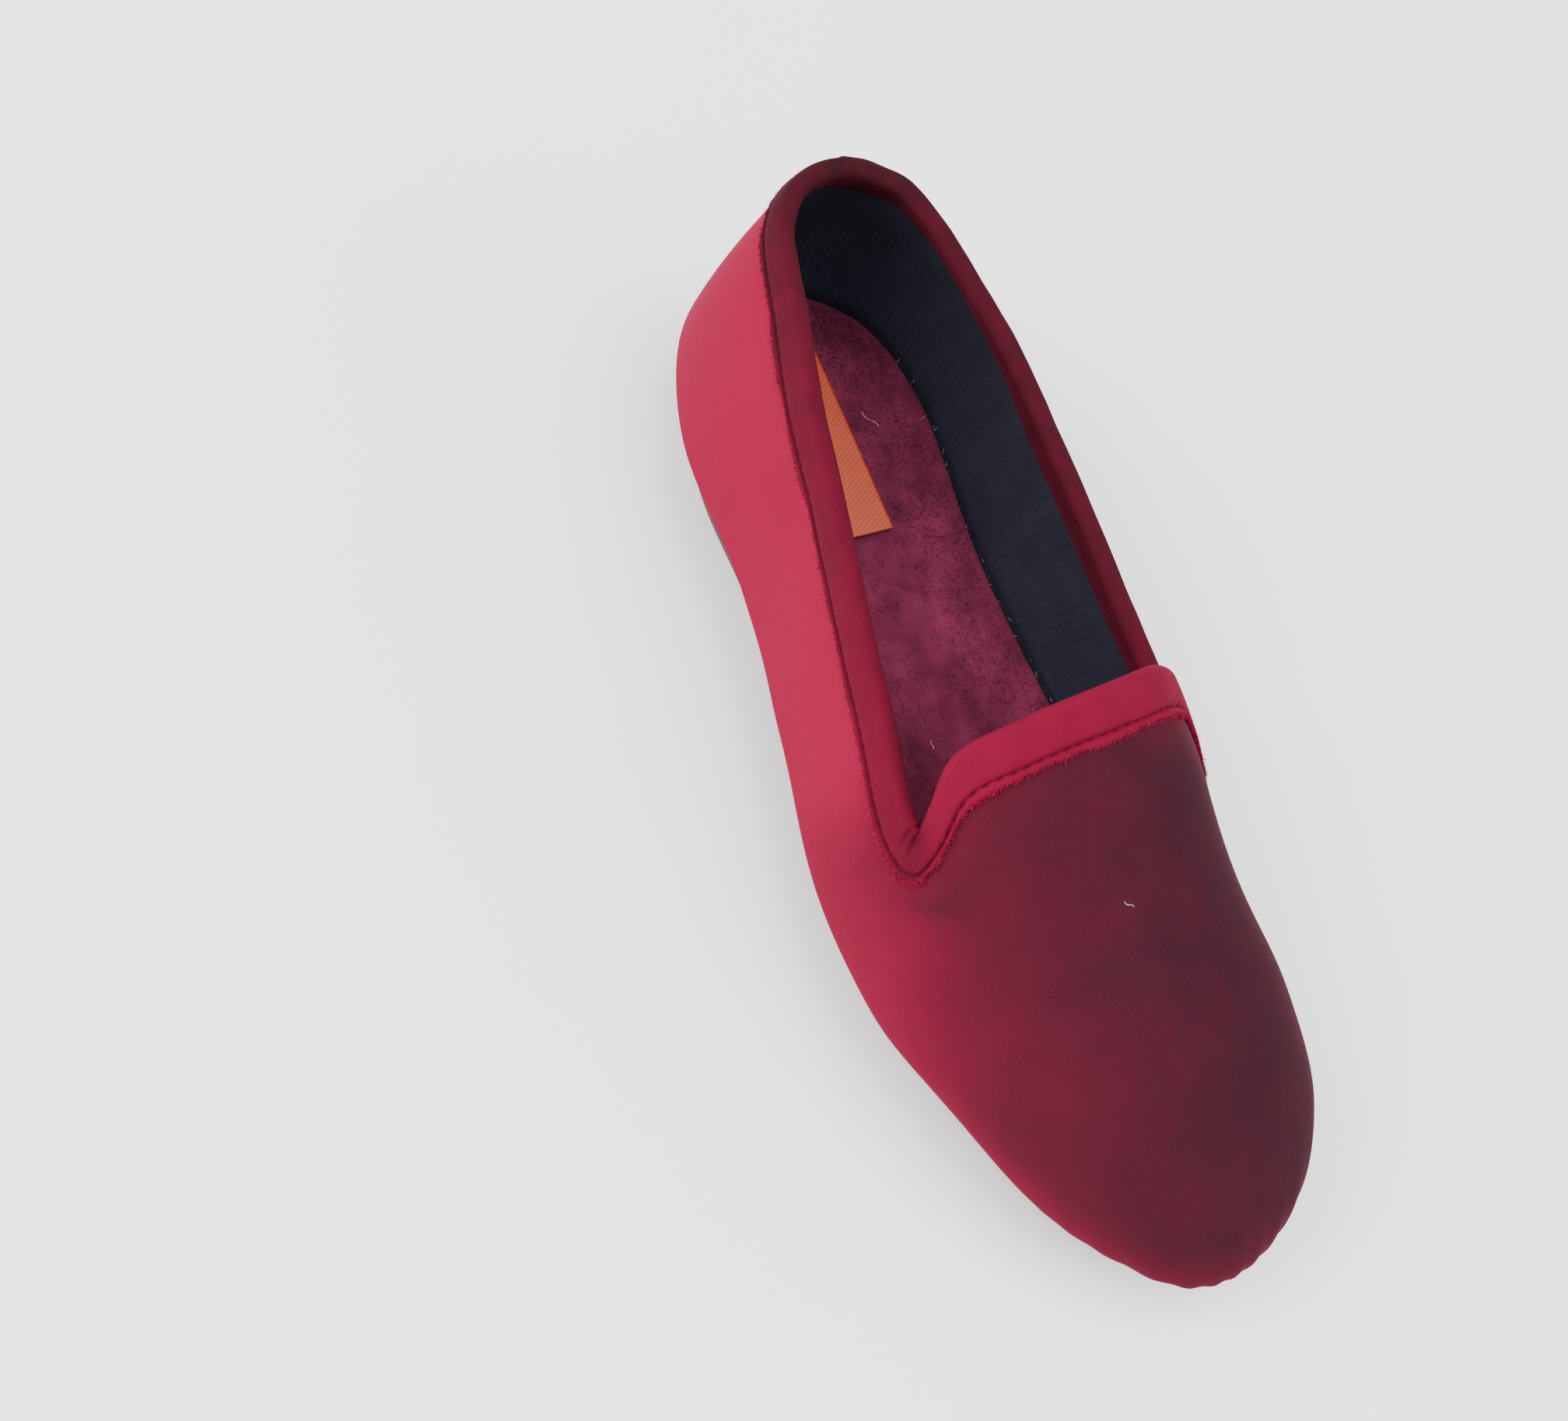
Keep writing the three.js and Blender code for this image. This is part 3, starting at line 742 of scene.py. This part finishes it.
# Binding: a strip folded over the topline, sewn through near its raw lower edges
# Rows of the profile: the wall face it lies on (outside 1, rim 0, inside -1), how far down that face, and
# how far out of it
PROFILE_ROWS = [
    (1, 9.6, 0.3),
    (1, 9.2, 0.8),
    (1, 8.4, 0.9),
    (1, 7.7, 0.3),
    (1, 6.9, 1),
    (1, 5, 1.35),
    (1, 3, 1.4),
    (1, 1, 1.35),
    (0, -0.4, 1.2),
    (0, -1.3, 0.4),
    (0, -1.7, -1.1),
    (0, -1.3, -2.6),
    (0, -0.4, -3.4),
    (-1, 1, 1.3),
    (-1, 3, 1.3),
    (-1, 5, 1.2),
    (-1, 7, 1),
    (-1, 8, 0.4),
    (-1, 9.5, 0.7),
    (-1, 11, 0.3),
]
BINDING_PROFILE = dict(zip(("side", "down", "out"), zip(*PROFILE_ROWS)))
BINDING_ROWS = 63
BINDING_COLUMNS = 660
SEAM_DOWN = 7.7
QUARTER_SHARE = 0.78
STITCH_EACH = 3
STITCH = {"points": 5, "share": 0.72, "height": 0.12, "end": 0.04, "swell": 0.1}
OUTER_NOTCH = 247
INNER_NOTCH = 112
HEEL_JOIN = 2.5
RAW_EDGE = {"from": 8.3, "to": 9.6, "fray": 0.45, "wander": 0.3, "wave": 4.1}
PINCH = {"depth": 0.25, "reach": 0.8}
PUCKER = {"wave": 6, "reach": 5, "inner_share": 0.7, "out": 0.75, "lining_share": 0.6, "up": 0.3}
LAP = {"reach": 6, "step": 0.3, "up": 0.55, "out": 0.35}
RIM_DEPTH = 6
# Profile row at the crest of the rim: the rows before it lie on the outside
CREST_ROW = 10
binding_feet = even_feet(BINDING_COLUMNS)
profile_stops = np.arange(len(PROFILE_ROWS))
profile_rows = np.linspace(0, len(PROFILE_ROWS) - 1, BINDING_ROWS)
profile_down = smooth(profile_stops, BINDING_PROFILE["down"], profile_rows)


def notch_folds(feet, notch):
    """Puckers on both sides of a notch: a wave under a bell."""
    return bell(feet, notch, PUCKER["reach"]) * np.cos(2 * np.pi * (feet - notch) / PUCKER["wave"])


def binding():
    """The profile carried along the topline. Each row of it lies so far down the wall's outside or
    inside, and so far out of that face; over the rim it is lifted square to the topline. Stitches
    pinch the seam, the raw edge wanders, the notches pucker and the ends meet at the heel."""
    feet = binding_feet[:, None]
    side = np.array(BINDING_PROFILE["side"])
    out = np.array(BINDING_PROFILE["out"])
    face = np.where(side < 0, -WALL - out, out)
    down = profile_down[None]
    out = smooth(profile_stops, face, profile_rows)[None]
    outside = (profile_rows < CREST_ROW)[None]
    rim = np.clip(1 - np.maximum(down, 0) / RIM_DEPTH, 0, 1)
    line = shell(binding_feet, np.ones(BINDING_COLUMNS))
    steps = np.linalg.norm(np.roll(line, -1, 0) - line, axis=1)
    gone = (np.cumsum(steps) - steps)[:, None]
    pinch = 0.5 + 0.5 * np.cos(2 * np.pi * gone / STITCH_EACH)
    draw = np.random.default_rng(11)
    fray = np.convolve(draw.normal(size=BINDING_COLUMNS + 4), np.ones(5) / 5, "valid")[:, None]
    raw = fade(down, RAW_EDGE["from"], RAW_EDGE["to"])
    wander = RAW_EDGE["wander"] * np.sin(gone / RAW_EDGE["wave"])
    down = down + raw * (RAW_EDGE["fray"] * fray + wander)
    pinched = PINCH["depth"] * pinch * bell(down, SEAM_DOWN, PINCH["reach"])
    out = out - np.where(outside, 1, -1) * pinched
    out = out + 0.12 * ripple(line, 9, 21)[:, None] * np.where(outside, 1, -1) * fade(-raw, -0.5, 0)
    folds = notch_folds(feet, OUTER_NOTCH) + PUCKER["inner_share"] * notch_folds(feet, INNER_NOTCH)
    out = out + PUCKER["out"] * folds * np.where(outside, 1, -PUCKER["lining_share"]) * rim * (down > -0.5)
    past_join = np.mod(feet - HEEL_JOIN, 360)
    lap = np.exp(-past_join / LAP["reach"]) * (1 - np.exp(-past_join / LAP["step"]))
    lift = np.maximum(-down, 0) * (1 + LAP["up"] * lap) + PUCKER["up"] * folds * (down < 0)
    out = out + LAP["out"] * lap * rim * np.where(out > -WALL / 2, 1, -1)
    lengths = wall_lengths(binding_feet)[:, None]
    over_tab = fade(feet, 100, 125) * (1 - fade(feet, 235, 260))
    rises = 1 - np.maximum(down, 0) * mix(QUARTER_SHARE, 1, over_tab) / lengths
    feet = np.broadcast_to(feet, rises.shape)
    points = shell(feet, rises)
    along = unit(np.roll(points, -1, 0) - np.roll(points, 1, 0))
    normal = unit(np.cross(points - shell(feet, rises - 0.02), along))
    over = np.cross(along, normal)
    top = points + normal * out[..., None] + over * lift[..., None]
    under_out = np.where(out > -WALL / 2, 0.15, -WALL - 0.15)
    under = points + normal * under_out[..., None] + over * (0.2 * lift)[..., None]
    return top, under, normal, over


binding_top, binding_under, binding_normal, binding_over = binding()
binding_points = np.concatenate([binding_top, binding_under[:, ::-1]], 1)
# Painted light along the binding by foot angle: painted shade round the heel, painted light over the tab
BINDING_PAINTED_LIGHT = {
    "foot": [0, 40, 90, 112, 140, 180, 220, 240, 255, 285, 330],
    "painted_light": [0.06, 0.16, 0.25, 0.5, 0.75, 0.8, 0.7, 0.42, 0.5, 0.45, 0.22],
}
binding_painted_light = smooth(BINDING_PAINTED_LIGHT["foot"], BINDING_PAINTED_LIGHT["painted_light"], binding_feet, 360)
make_piece(
    "topline_binding",
    binding_points,
    grid_faces(*binding_points.shape[:2], True, True),
    binding_velvet,
    "binding",
    ["collar_binding"],
    {"painted_light": np.tile(binding_painted_light[:, None], binding_points.shape[1])},
)


def seam_row(outside):
    """Index of the profile row that lies in the seam on the outside or the inside."""
    elsewhere = (profile_rows < CREST_ROW) != outside
    return int(np.argmin(np.where(elsewhere, np.inf, np.abs(profile_down - SEAM_DOWN))))


def stitches():
    """Thread in the seam: short arched tubes at even steps along the outer and the inner seam line."""
    shares = np.linspace(-0.5, 0.5, STITCH["points"])
    arch = 1 - (2 * shares) ** 2
    paths = []
    for outside, way in ((True, 1), (False, -1)):
        k = seam_row(outside)
        line = binding_top[:, k]
        count = int(line_length(line) / STITCH_EACH)
        step = line_length(line) / count
        places = (np.arange(count)[:, None] + 0.5 + STITCH["share"] * shares[None]) * step
        raised = binding_top[:, k] + binding_normal[:, k] * STITCH["height"] * way
        low = along_line(line, places)
        high = along_line(raised, places * line_length(raised) / line_length(line))
        paths.append(mix(low, high, arch[None, :, None]))
    return tubes(np.concatenate(paths), STITCH["end"] + STITCH["swell"] * np.sqrt(arch))


make_piece("binding_stitches", *stitches(), thread, "binding")


def fray():
    """Fibres that stand out of the raw lower edge of the binding, down the wall and off it."""
    kind = FIBRES["fray"]
    count = kind["count"]
    draw = np.random.default_rng(kind["seed"])
    column = draw.integers(0, BINDING_COLUMNS, count)
    row = draw.integers(0, 6, count)
    ways = unit(
        -binding_over[column, row] * draw.uniform(0.3, 1, (count, 1))
        + binding_normal[column, row] * draw.uniform(0.1, 0.7, (count, 1))
        + 0.5 * draw.normal(size=(count, 3))
    )
    droop = unit(draw.normal(size=(count, 3)))
    lengths = draw.uniform(*kind["length"], count)
    return spikes(binding_top[column, row], ways, lengths, kind["width"], droop)


make_piece("binding_fray", *fray(), fibre, "binding")


# Sole: the moulded body and two tread plates
def tread_rise(x):
    """Height of the tread off the floor: arch under the waist, toe spring and heel bevel."""
    arch = np.clip((x - ARCH["from"]) / (ARCH["to"] - ARCH["from"]), 0, 1)
    toe = np.clip((x - TOE_SPRING["from"]) / (LENGTH - TOE_SPRING["from"]), 0, 1)
    heel = np.clip((HEEL_BEVEL["from"] - x) / HEEL_BEVEL["from"], 0, 1)
    return (
        ARCH["rise"] * np.sin(np.pi * arch) ** 2
        + TOE_SPRING["rise"] * toe**2
        + HEEL_BEVEL["rise"] * heel**2
    )


def fan(feet, outs, downs, top_height, bottom_height, steps):
    """A fan that meets itself along a spine: from there out to the feather line moved sideways, down its
    side by shares of the way from top to bottom, and back to the spine below."""
    edge = feather_line(feet, outs)
    spine_x = HALF - HALF * SPINE_SHARE * np.cos(np.radians(feet))
    spine = np.stack([spine_x, np.zeros(len(feet))], -1)
    shares = np.linspace(0, 1, steps, endpoint=False)[None, :, None]
    top = mix(spine[:, None], edge[:, :1], shares)
    bottom = mix(spine[:, None], edge[:, -1:], shares[:, ::-1])
    plan = np.concatenate([top, edge, bottom], 1)
    share = np.concatenate([np.zeros(steps), downs, np.ones(steps)])
    height = mix(top_height(plan[..., 0]), bottom_height(plan[..., 0]), share)
    return np.concatenate([plan, height[..., None]], -1)


# The body's top edge is a thin rounded lip against the velvet
LIP = {"down": [0, 0.03, 0.09, 0.14], "out": [-0.5, 0.25, 0.35, -0.25]}
SIDE_BELOW_LIP = {"from": 0.2, "rows": 15}
SOLE_COLUMNS = 360
SOLE_STEPS = 6
side_rows = np.concatenate([LIP["down"], np.linspace(SIDE_BELOW_LIP["from"], 1, SIDE_BELOW_LIP["rows"])])
side_outs = smooth(SOLE_SIDE["down"], SOLE_SIDE["out"], side_rows)
side_outs[: len(LIP["out"])] += LIP["out"]
sole_points = fan(
    even_feet(SOLE_COLUMNS),
    side_outs,
    side_rows,
    seat_height,
    lambda x: PLATE + tread_rise(x),
    SOLE_STEPS,
)
make_piece(
    "sole_unit",
    sole_points,
    grid_faces(*sole_points.shape[:2], True, False),
    rubber,
    "rubber",
    ["outsole"],
)

TREAD_STEP = 0.55
FIELD_DEPTH = 0.45
GROOVE = {"width": 1.3, "depth": 0.9}
RIM = 2.4
BUMP = {"along": 3.0, "across": 1.9, "height": 0.4}
# Widest place of a plate, which sets the columns of its grid, and how far its top stands in the body
PLATE_WIDEST = 64
PLATE_SUNK = 0.5
PLATE_ENDS = {"toe": 236.5, "heel": 15.5}
BOW_ROUNDS = 4
TREAD_SOFT = 0.3
PLATE_EDGE_COLUMNS = 720
plate_edge = feather_line(even_feet(PLATE_EDGE_COLUMNS), [-PLATE_INSET - PLATE / 2])[:, 0]


def plate_width(x):
    """The plate's two edges at a place along the shoe, inner and outer."""
    half = len(plate_edge) // 2
    inner = np.interp(x, plate_edge[:half, 0], plate_edge[:half, 1])
    outer = np.interp(x, plate_edge[: half - 1 : -1, 0], plate_edge[: half - 1 : -1, 1])
    return inner, outer


def leaf_distance(x, y):
    """Distance outside the nearest leaf panel, negative inside: each leaf is two equal bows."""
    nearest = np.full(x.shape, np.inf)
    for leaf_x, leaf_y, length, width, turn in zip(*LEAVES.values()):
        for way in (1, -1):
            dx = x - leaf_x
            dy = y - way * leaf_y - LEAF_SHIFT
            along = dx * np.cos(turn) + way * dy * np.sin(turn)
            across = -way * dx * np.sin(turn) + dy * np.cos(turn)
            bow = width / 2 * (1 - (2 * along / length) ** 2)
            nearest = np.minimum(nearest, np.abs(across) - bow)
    return nearest


def tread_plate(low, high, round_end, way):
    """A closed slab over a grid in plan: places along the shoe from the plate's straight end to its
    bowed one, and shares across it. Below it stand the rim and the leaf panels, each in its groove,
    and between them a field of small staggered bumps a little higher off the floor."""
    rows = int((high - low) / TREAD_STEP)
    columns = int(PLATE_WIDEST / TREAD_STEP)
    u, v = np.meshgrid(np.linspace(0, 1, rows), np.linspace(0, 1, columns), indexing="ij")
    x = mix(low, high, u)
    for _ in range(BOW_ROUNDS):
        inner, outer = plate_width(x)
        y = mix(outer, inner, v)
        bowed = round_end["centre"] - way * np.sqrt(round_end["radius"] ** 2 - y**2)
        x = mix(bowed, high, u) if way > 0 else mix(low, bowed, u)
    leaf = leaf_distance(x, y)
    edge = np.minimum(v, 1 - v) * (inner - outer)
    end = (u if way > 0 else 1 - u) * (high - low)
    rim = 1 - fade(np.minimum(edge, end), RIM - TREAD_SOFT, RIM + TREAD_SOFT)
    raised = np.maximum(fade(-leaf, -TREAD_SOFT, TREAD_SOFT), rim)
    groove = np.where(np.abs(leaf - GROOVE["width"] / 2) < GROOVE["width"] / 2, 1, 0)
    lane = np.floor(y / BUMP["across"])
    bump = np.sin(np.pi * (x / BUMP["along"] + lane / 2)) ** 2 * np.sin(np.pi * y / BUMP["across"]) ** 2
    field = (FIELD_DEPTH - BUMP["height"] * np.sqrt(bump)) * (1 - raised)
    rise = mix(field, GROOVE["depth"], groove)
    top = tread_rise(x) + PLATE + PLATE_SUNK
    return np.stack([np.stack([x, y, top], -1), np.stack([x, y, tread_rise(x) + rise], -1)])


forefoot_start = FOREFOOT_ROUND["centre"] - FOREFOOT_ROUND["radius"]
heel_end = HEEL_ROUND_END["centre"] + HEEL_ROUND_END["radius"]
for plate_name, low, high, round_end, way in (
    ("forefoot_tread", forefoot_start, PLATE_ENDS["toe"], FOREFOOT_ROUND, 1),
    ("heel_tread", PLATE_ENDS["heel"], heel_end, HEEL_ROUND_END, -1),
):
    plate_points = tread_plate(low, high, round_end, way)
    make_piece(plate_name, plate_points, slab_faces(*plate_points.shape[1:3]), rubber, "rubber")


# Insole and its label
def plush_relief(points):
    """Hollows and ridges that a worn plush sock keeps: a slow wave and a shorter one."""
    flat = points * [1, 1, 0]
    return 0.35 * ripple(flat, 18, 5) + 0.2 * ripple(flat, 7, 6)


INSOLE_EDGE = {"down": [0, 0.06, 0.16, 0.4, 1], "out": [-2.4, -1.3, -0.9, -1.1, -1.6]}
INSOLE_COLUMNS = 420
INSOLE_STEPS = 56
WORN_ROWS = INSOLE_STEPS + len(INSOLE_EDGE["down"]) - 1
insole_points = fan(
    even_feet(INSOLE_COLUMNS),
    INSOLE_EDGE["out"],
    INSOLE_EDGE["down"],
    insole_top,
    lambda x: seat_height(x) + GAP,
    INSOLE_STEPS,
)
insole_points[:, :WORN_ROWS, 2] += plush_relief(insole_points[:, :WORN_ROWS])
plush_insole = make_piece(
    "plush_insole",
    insole_points,
    grid_faces(*insole_points.shape[:2], True, False),
    plush,
    "plush",
    ["insole"],
)


def plush_pile():
    """Pile of the insole: short fibres all over its top, leaning together in patches."""
    kind = FIBRES["pile"]
    count = kind["count"]
    draw = np.random.default_rng(kind["seed"])
    column = draw.integers(0, INSOLE_COLUMNS, count)
    row = (INSOLE_STEPS * np.sqrt(draw.uniform(0, 1, count))).astype(int)
    near = insole_points[(column + 1) % INSOLE_COLUMNS, row]
    roots = mix(insole_points[column, row], near, draw.uniform(0, 1, (count, 1)))
    lean = np.stack([ripple(roots, 22, 42), ripple(roots, 22, 43), np.full(count, 0.5)], -1)
    ways = unit(lean + 0.45 * draw.normal(size=(count, 3)) * [1, 1, 0.4] + [0, 0, 0.5])
    lengths = draw.uniform(*kind["length"], count)
    droop = unit(lean * [1, 1, 0] + [0, 0, 0.01])
    return spikes(roots, ways, lengths, kind["width"], droop)


make_piece("insole_pile", *plush_pile(), plush, "plush")


LABEL_GRID = (81, 41)
LABEL_LIFT = 0.6
FLOATS = {"each": 1.1, "slant": 0.6}


def label_slip():
    """A thin slip laid on the insole: a grid turned in plan that follows the insole's top, and the same
    grid its thickness lower."""
    along, across = (np.linspace(-0.5, 0.5, count) for count in LABEL_GRID)
    u, v = np.meshgrid(along, across, indexing="ij")
    x = u * LABEL["length"]
    y = v * LABEL["width"]
    turned_x = x * np.cos(LABEL["turn"]) - y * np.sin(LABEL["turn"]) + LABEL["x"]
    turned_y = x * np.sin(LABEL["turn"]) + y * np.cos(LABEL["turn"]) + LABEL["y"]
    height = insole_top(turned_x) + GAP + LABEL["thick"]
    top = np.stack([turned_x, turned_y, height], -1)
    top[..., 2] += 0.15 * ripple(top * [1, 1, 0], 15, 8) + LABEL_LIFT
    return np.stack([top, top - [0, 0, LABEL["thick"]]])


label_points = label_slip()
woven_label = make_piece(
    "woven_label",
    label_points,
    slab_faces(*label_points.shape[1:3]),
    woven,
    "label",
    ["insole_label"],
    {"lines": (label_points[..., 0] + FLOATS["slant"] * label_points[..., 1]) / FLOATS["each"]},
)


# Loose fibres
def seam_fuzz():
    """Pile that stands out where the velvet goes under the sole's lip."""
    kind = FIBRES["fuzz"]
    count = kind["count"]
    draw = np.random.default_rng(kind["seed"])
    column = draw.integers(0, SHELL_COLUMNS, count)
    row = draw.integers(0, 2, count)
    roots = velvet_points[column, row]
    ways = unit(shell_out[column, row] + 0.6 * draw.normal(size=(count, 3)) - [0, 0, 0.3])
    droop = unit(draw.normal(size=(count, 3)))
    return spikes(roots, ways, draw.uniform(*kind["length"], count), kind["width"], droop)


make_piece("sole_seam_fuzz", *seam_fuzz(), fibre, "velvet")

STRAYS = {
    "start": [(44, 9, 24.4), (175, -8, 55.3), (122, -9, 18.9)],
    "step": [(0.6, 0.25, 0.03), (0.22, 0.18, 0), (0.22, -0.15, 0.05)],
    "curl": [0.5, 0.3, 0.4],
    "thick": [0.03, 0.05, 0.04],
}


STRAY_POINTS = 9
STRAY_BEND = 0.7


def stray_fibres():
    """A pale hair and two curls of lint: each a path of even steps bent by one slow sine."""
    steps = np.arange(STRAY_POINTS)[:, None]
    points = []
    faces = []
    for begin, step, curl, thick in zip(*STRAYS.values()):
        path = np.array(begin) + steps * np.array(step)
        path = path + curl * np.sin(steps * STRAY_BEND) * unit(np.cross(step, [0, 0, 1]))
        tube_points, tube_faces = tubes(path[None], np.full(STRAY_POINTS, thick))
        faces.append(tube_faces + sum(map(len, points)))
        points.append(tube_points)
    return np.concatenate(points), np.concatenate(faces)


make_piece("stray_lint", *stray_fibres(), lint, "plush")


def edge_lint():
    """Short pale fibres caught along the inner edge of the insole, where it meets the lining."""
    kind = FIBRES["edge_lint"]
    count = kind["count"]
    draw = np.random.default_rng(kind["seed"])
    feet = draw.uniform(38, 112, count)
    plan = feather_line(feet, [-1.2])[:, 0]
    height = insole_top(plan[:, 0]) + draw.uniform(0, 1, count)
    roots = np.concatenate([plan, height[:, None]], -1)
    ways = unit(draw.normal(size=(count, 3)) + [0, -0.6, 0.9])
    droop = unit(draw.normal(size=(count, 3)))
    return spikes(roots, ways, draw.uniform(*kind["length"], count), kind["width"], droop)


make_piece("insole_edge_lint", *edge_lint(), lint, "plush")


# Studio: pale floor, soft lights and the camera at the photograph's angle
FLOOR_SIZE = 6
floor_mesh = bpy.data.meshes.new("floor")
floor_corners = np.array([[-1, -1, 0], [1, -1, 0], [1, 1, 0], [-1, 1, 0]]) * FLOOR_SIZE / 2
floor_mesh.from_pydata(floor_corners, [], [[0, 1, 2, 3]])
floor = bpy.data.objects.new("floor", floor_mesh)
bpy.context.scene.collection.objects.link(floor)
# Pale paper: near white, matt, hardly any grain
paper = surface("pale_paper", "#f7f6f6", "#fdfcfc", [(40, 0.5)], 1, 0.01, Roughness=0.9)
floor_mesh.materials.append(paper)

LIGHTS = {
    "name": ["key", "top", "fill"],
    "from": [(-0.5, -1.3, 0.9), (0.1, 0.1, 1.8), (0.9, 1.2, 0.8)],
    "size": [1.2, 1.6, 1.2],
    "watts": [50, 30, 14],
}
for name, place, size, watts in zip(*LIGHTS.values()):
    lamp = bpy.data.lights.new(name, "AREA")
    lamp.size = size
    lamp.energy = watts
    light = bpy.data.objects.new(name, lamp)
    light.location = place
    light.rotation_euler = (-light.location).to_track_quat("-Z", "Y").to_euler()
    bpy.context.scene.collection.objects.link(light)
WORLD_STRENGTH = 1.4
world = bpy.data.worlds.new("white_room")
world.use_nodes = True
world.node_tree.nodes["Background"].inputs["Color"].default_value = (1, 1, 1, 1)
world.node_tree.nodes["Background"].inputs["Strength"].default_value = WORLD_STRENGTH
bpy.context.scene.world = world

CAMERA = {"turn": 64.4, "rise": 56.8, "roll": 43.3, "distance": 490, "target": (108.5, -46.5, 29.6)}
IMAGE_WIDTH = 2016
FOCAL_PIXELS = 3000
SENSOR = 36
turn, rise, roll = np.radians([CAMERA["turn"], CAMERA["rise"], CAMERA["roll"]])
back = np.array([np.cos(rise) * np.cos(turn), -np.cos(rise) * np.sin(turn), np.sin(rise)])
right = unit(np.cross(-back, [0, 0, 1]))
up = np.cross(right, -back)
camera_frame = np.eye(4)
camera_frame[:3, 0] = right * np.cos(roll) + up * np.sin(roll)
camera_frame[:3, 1] = -right * np.sin(roll) + up * np.cos(roll)
camera_frame[:3, 2] = back
camera_frame[:3, 3] = (np.array(CAMERA["target"]) - CENTRE + back * CAMERA["distance"]) * MILLIMETRE
lens = bpy.data.cameras.new("camera")
lens.sensor_width = SENSOR
lens.lens = FOCAL_PIXELS * SENSOR / IMAGE_WIDTH
lens.clip_start = 0.01
camera = bpy.data.objects.new("camera", lens)
camera.matrix_world = Matrix(camera_frame.tolist())
bpy.context.scene.collection.objects.link(camera)
bpy.context.scene.camera = camera
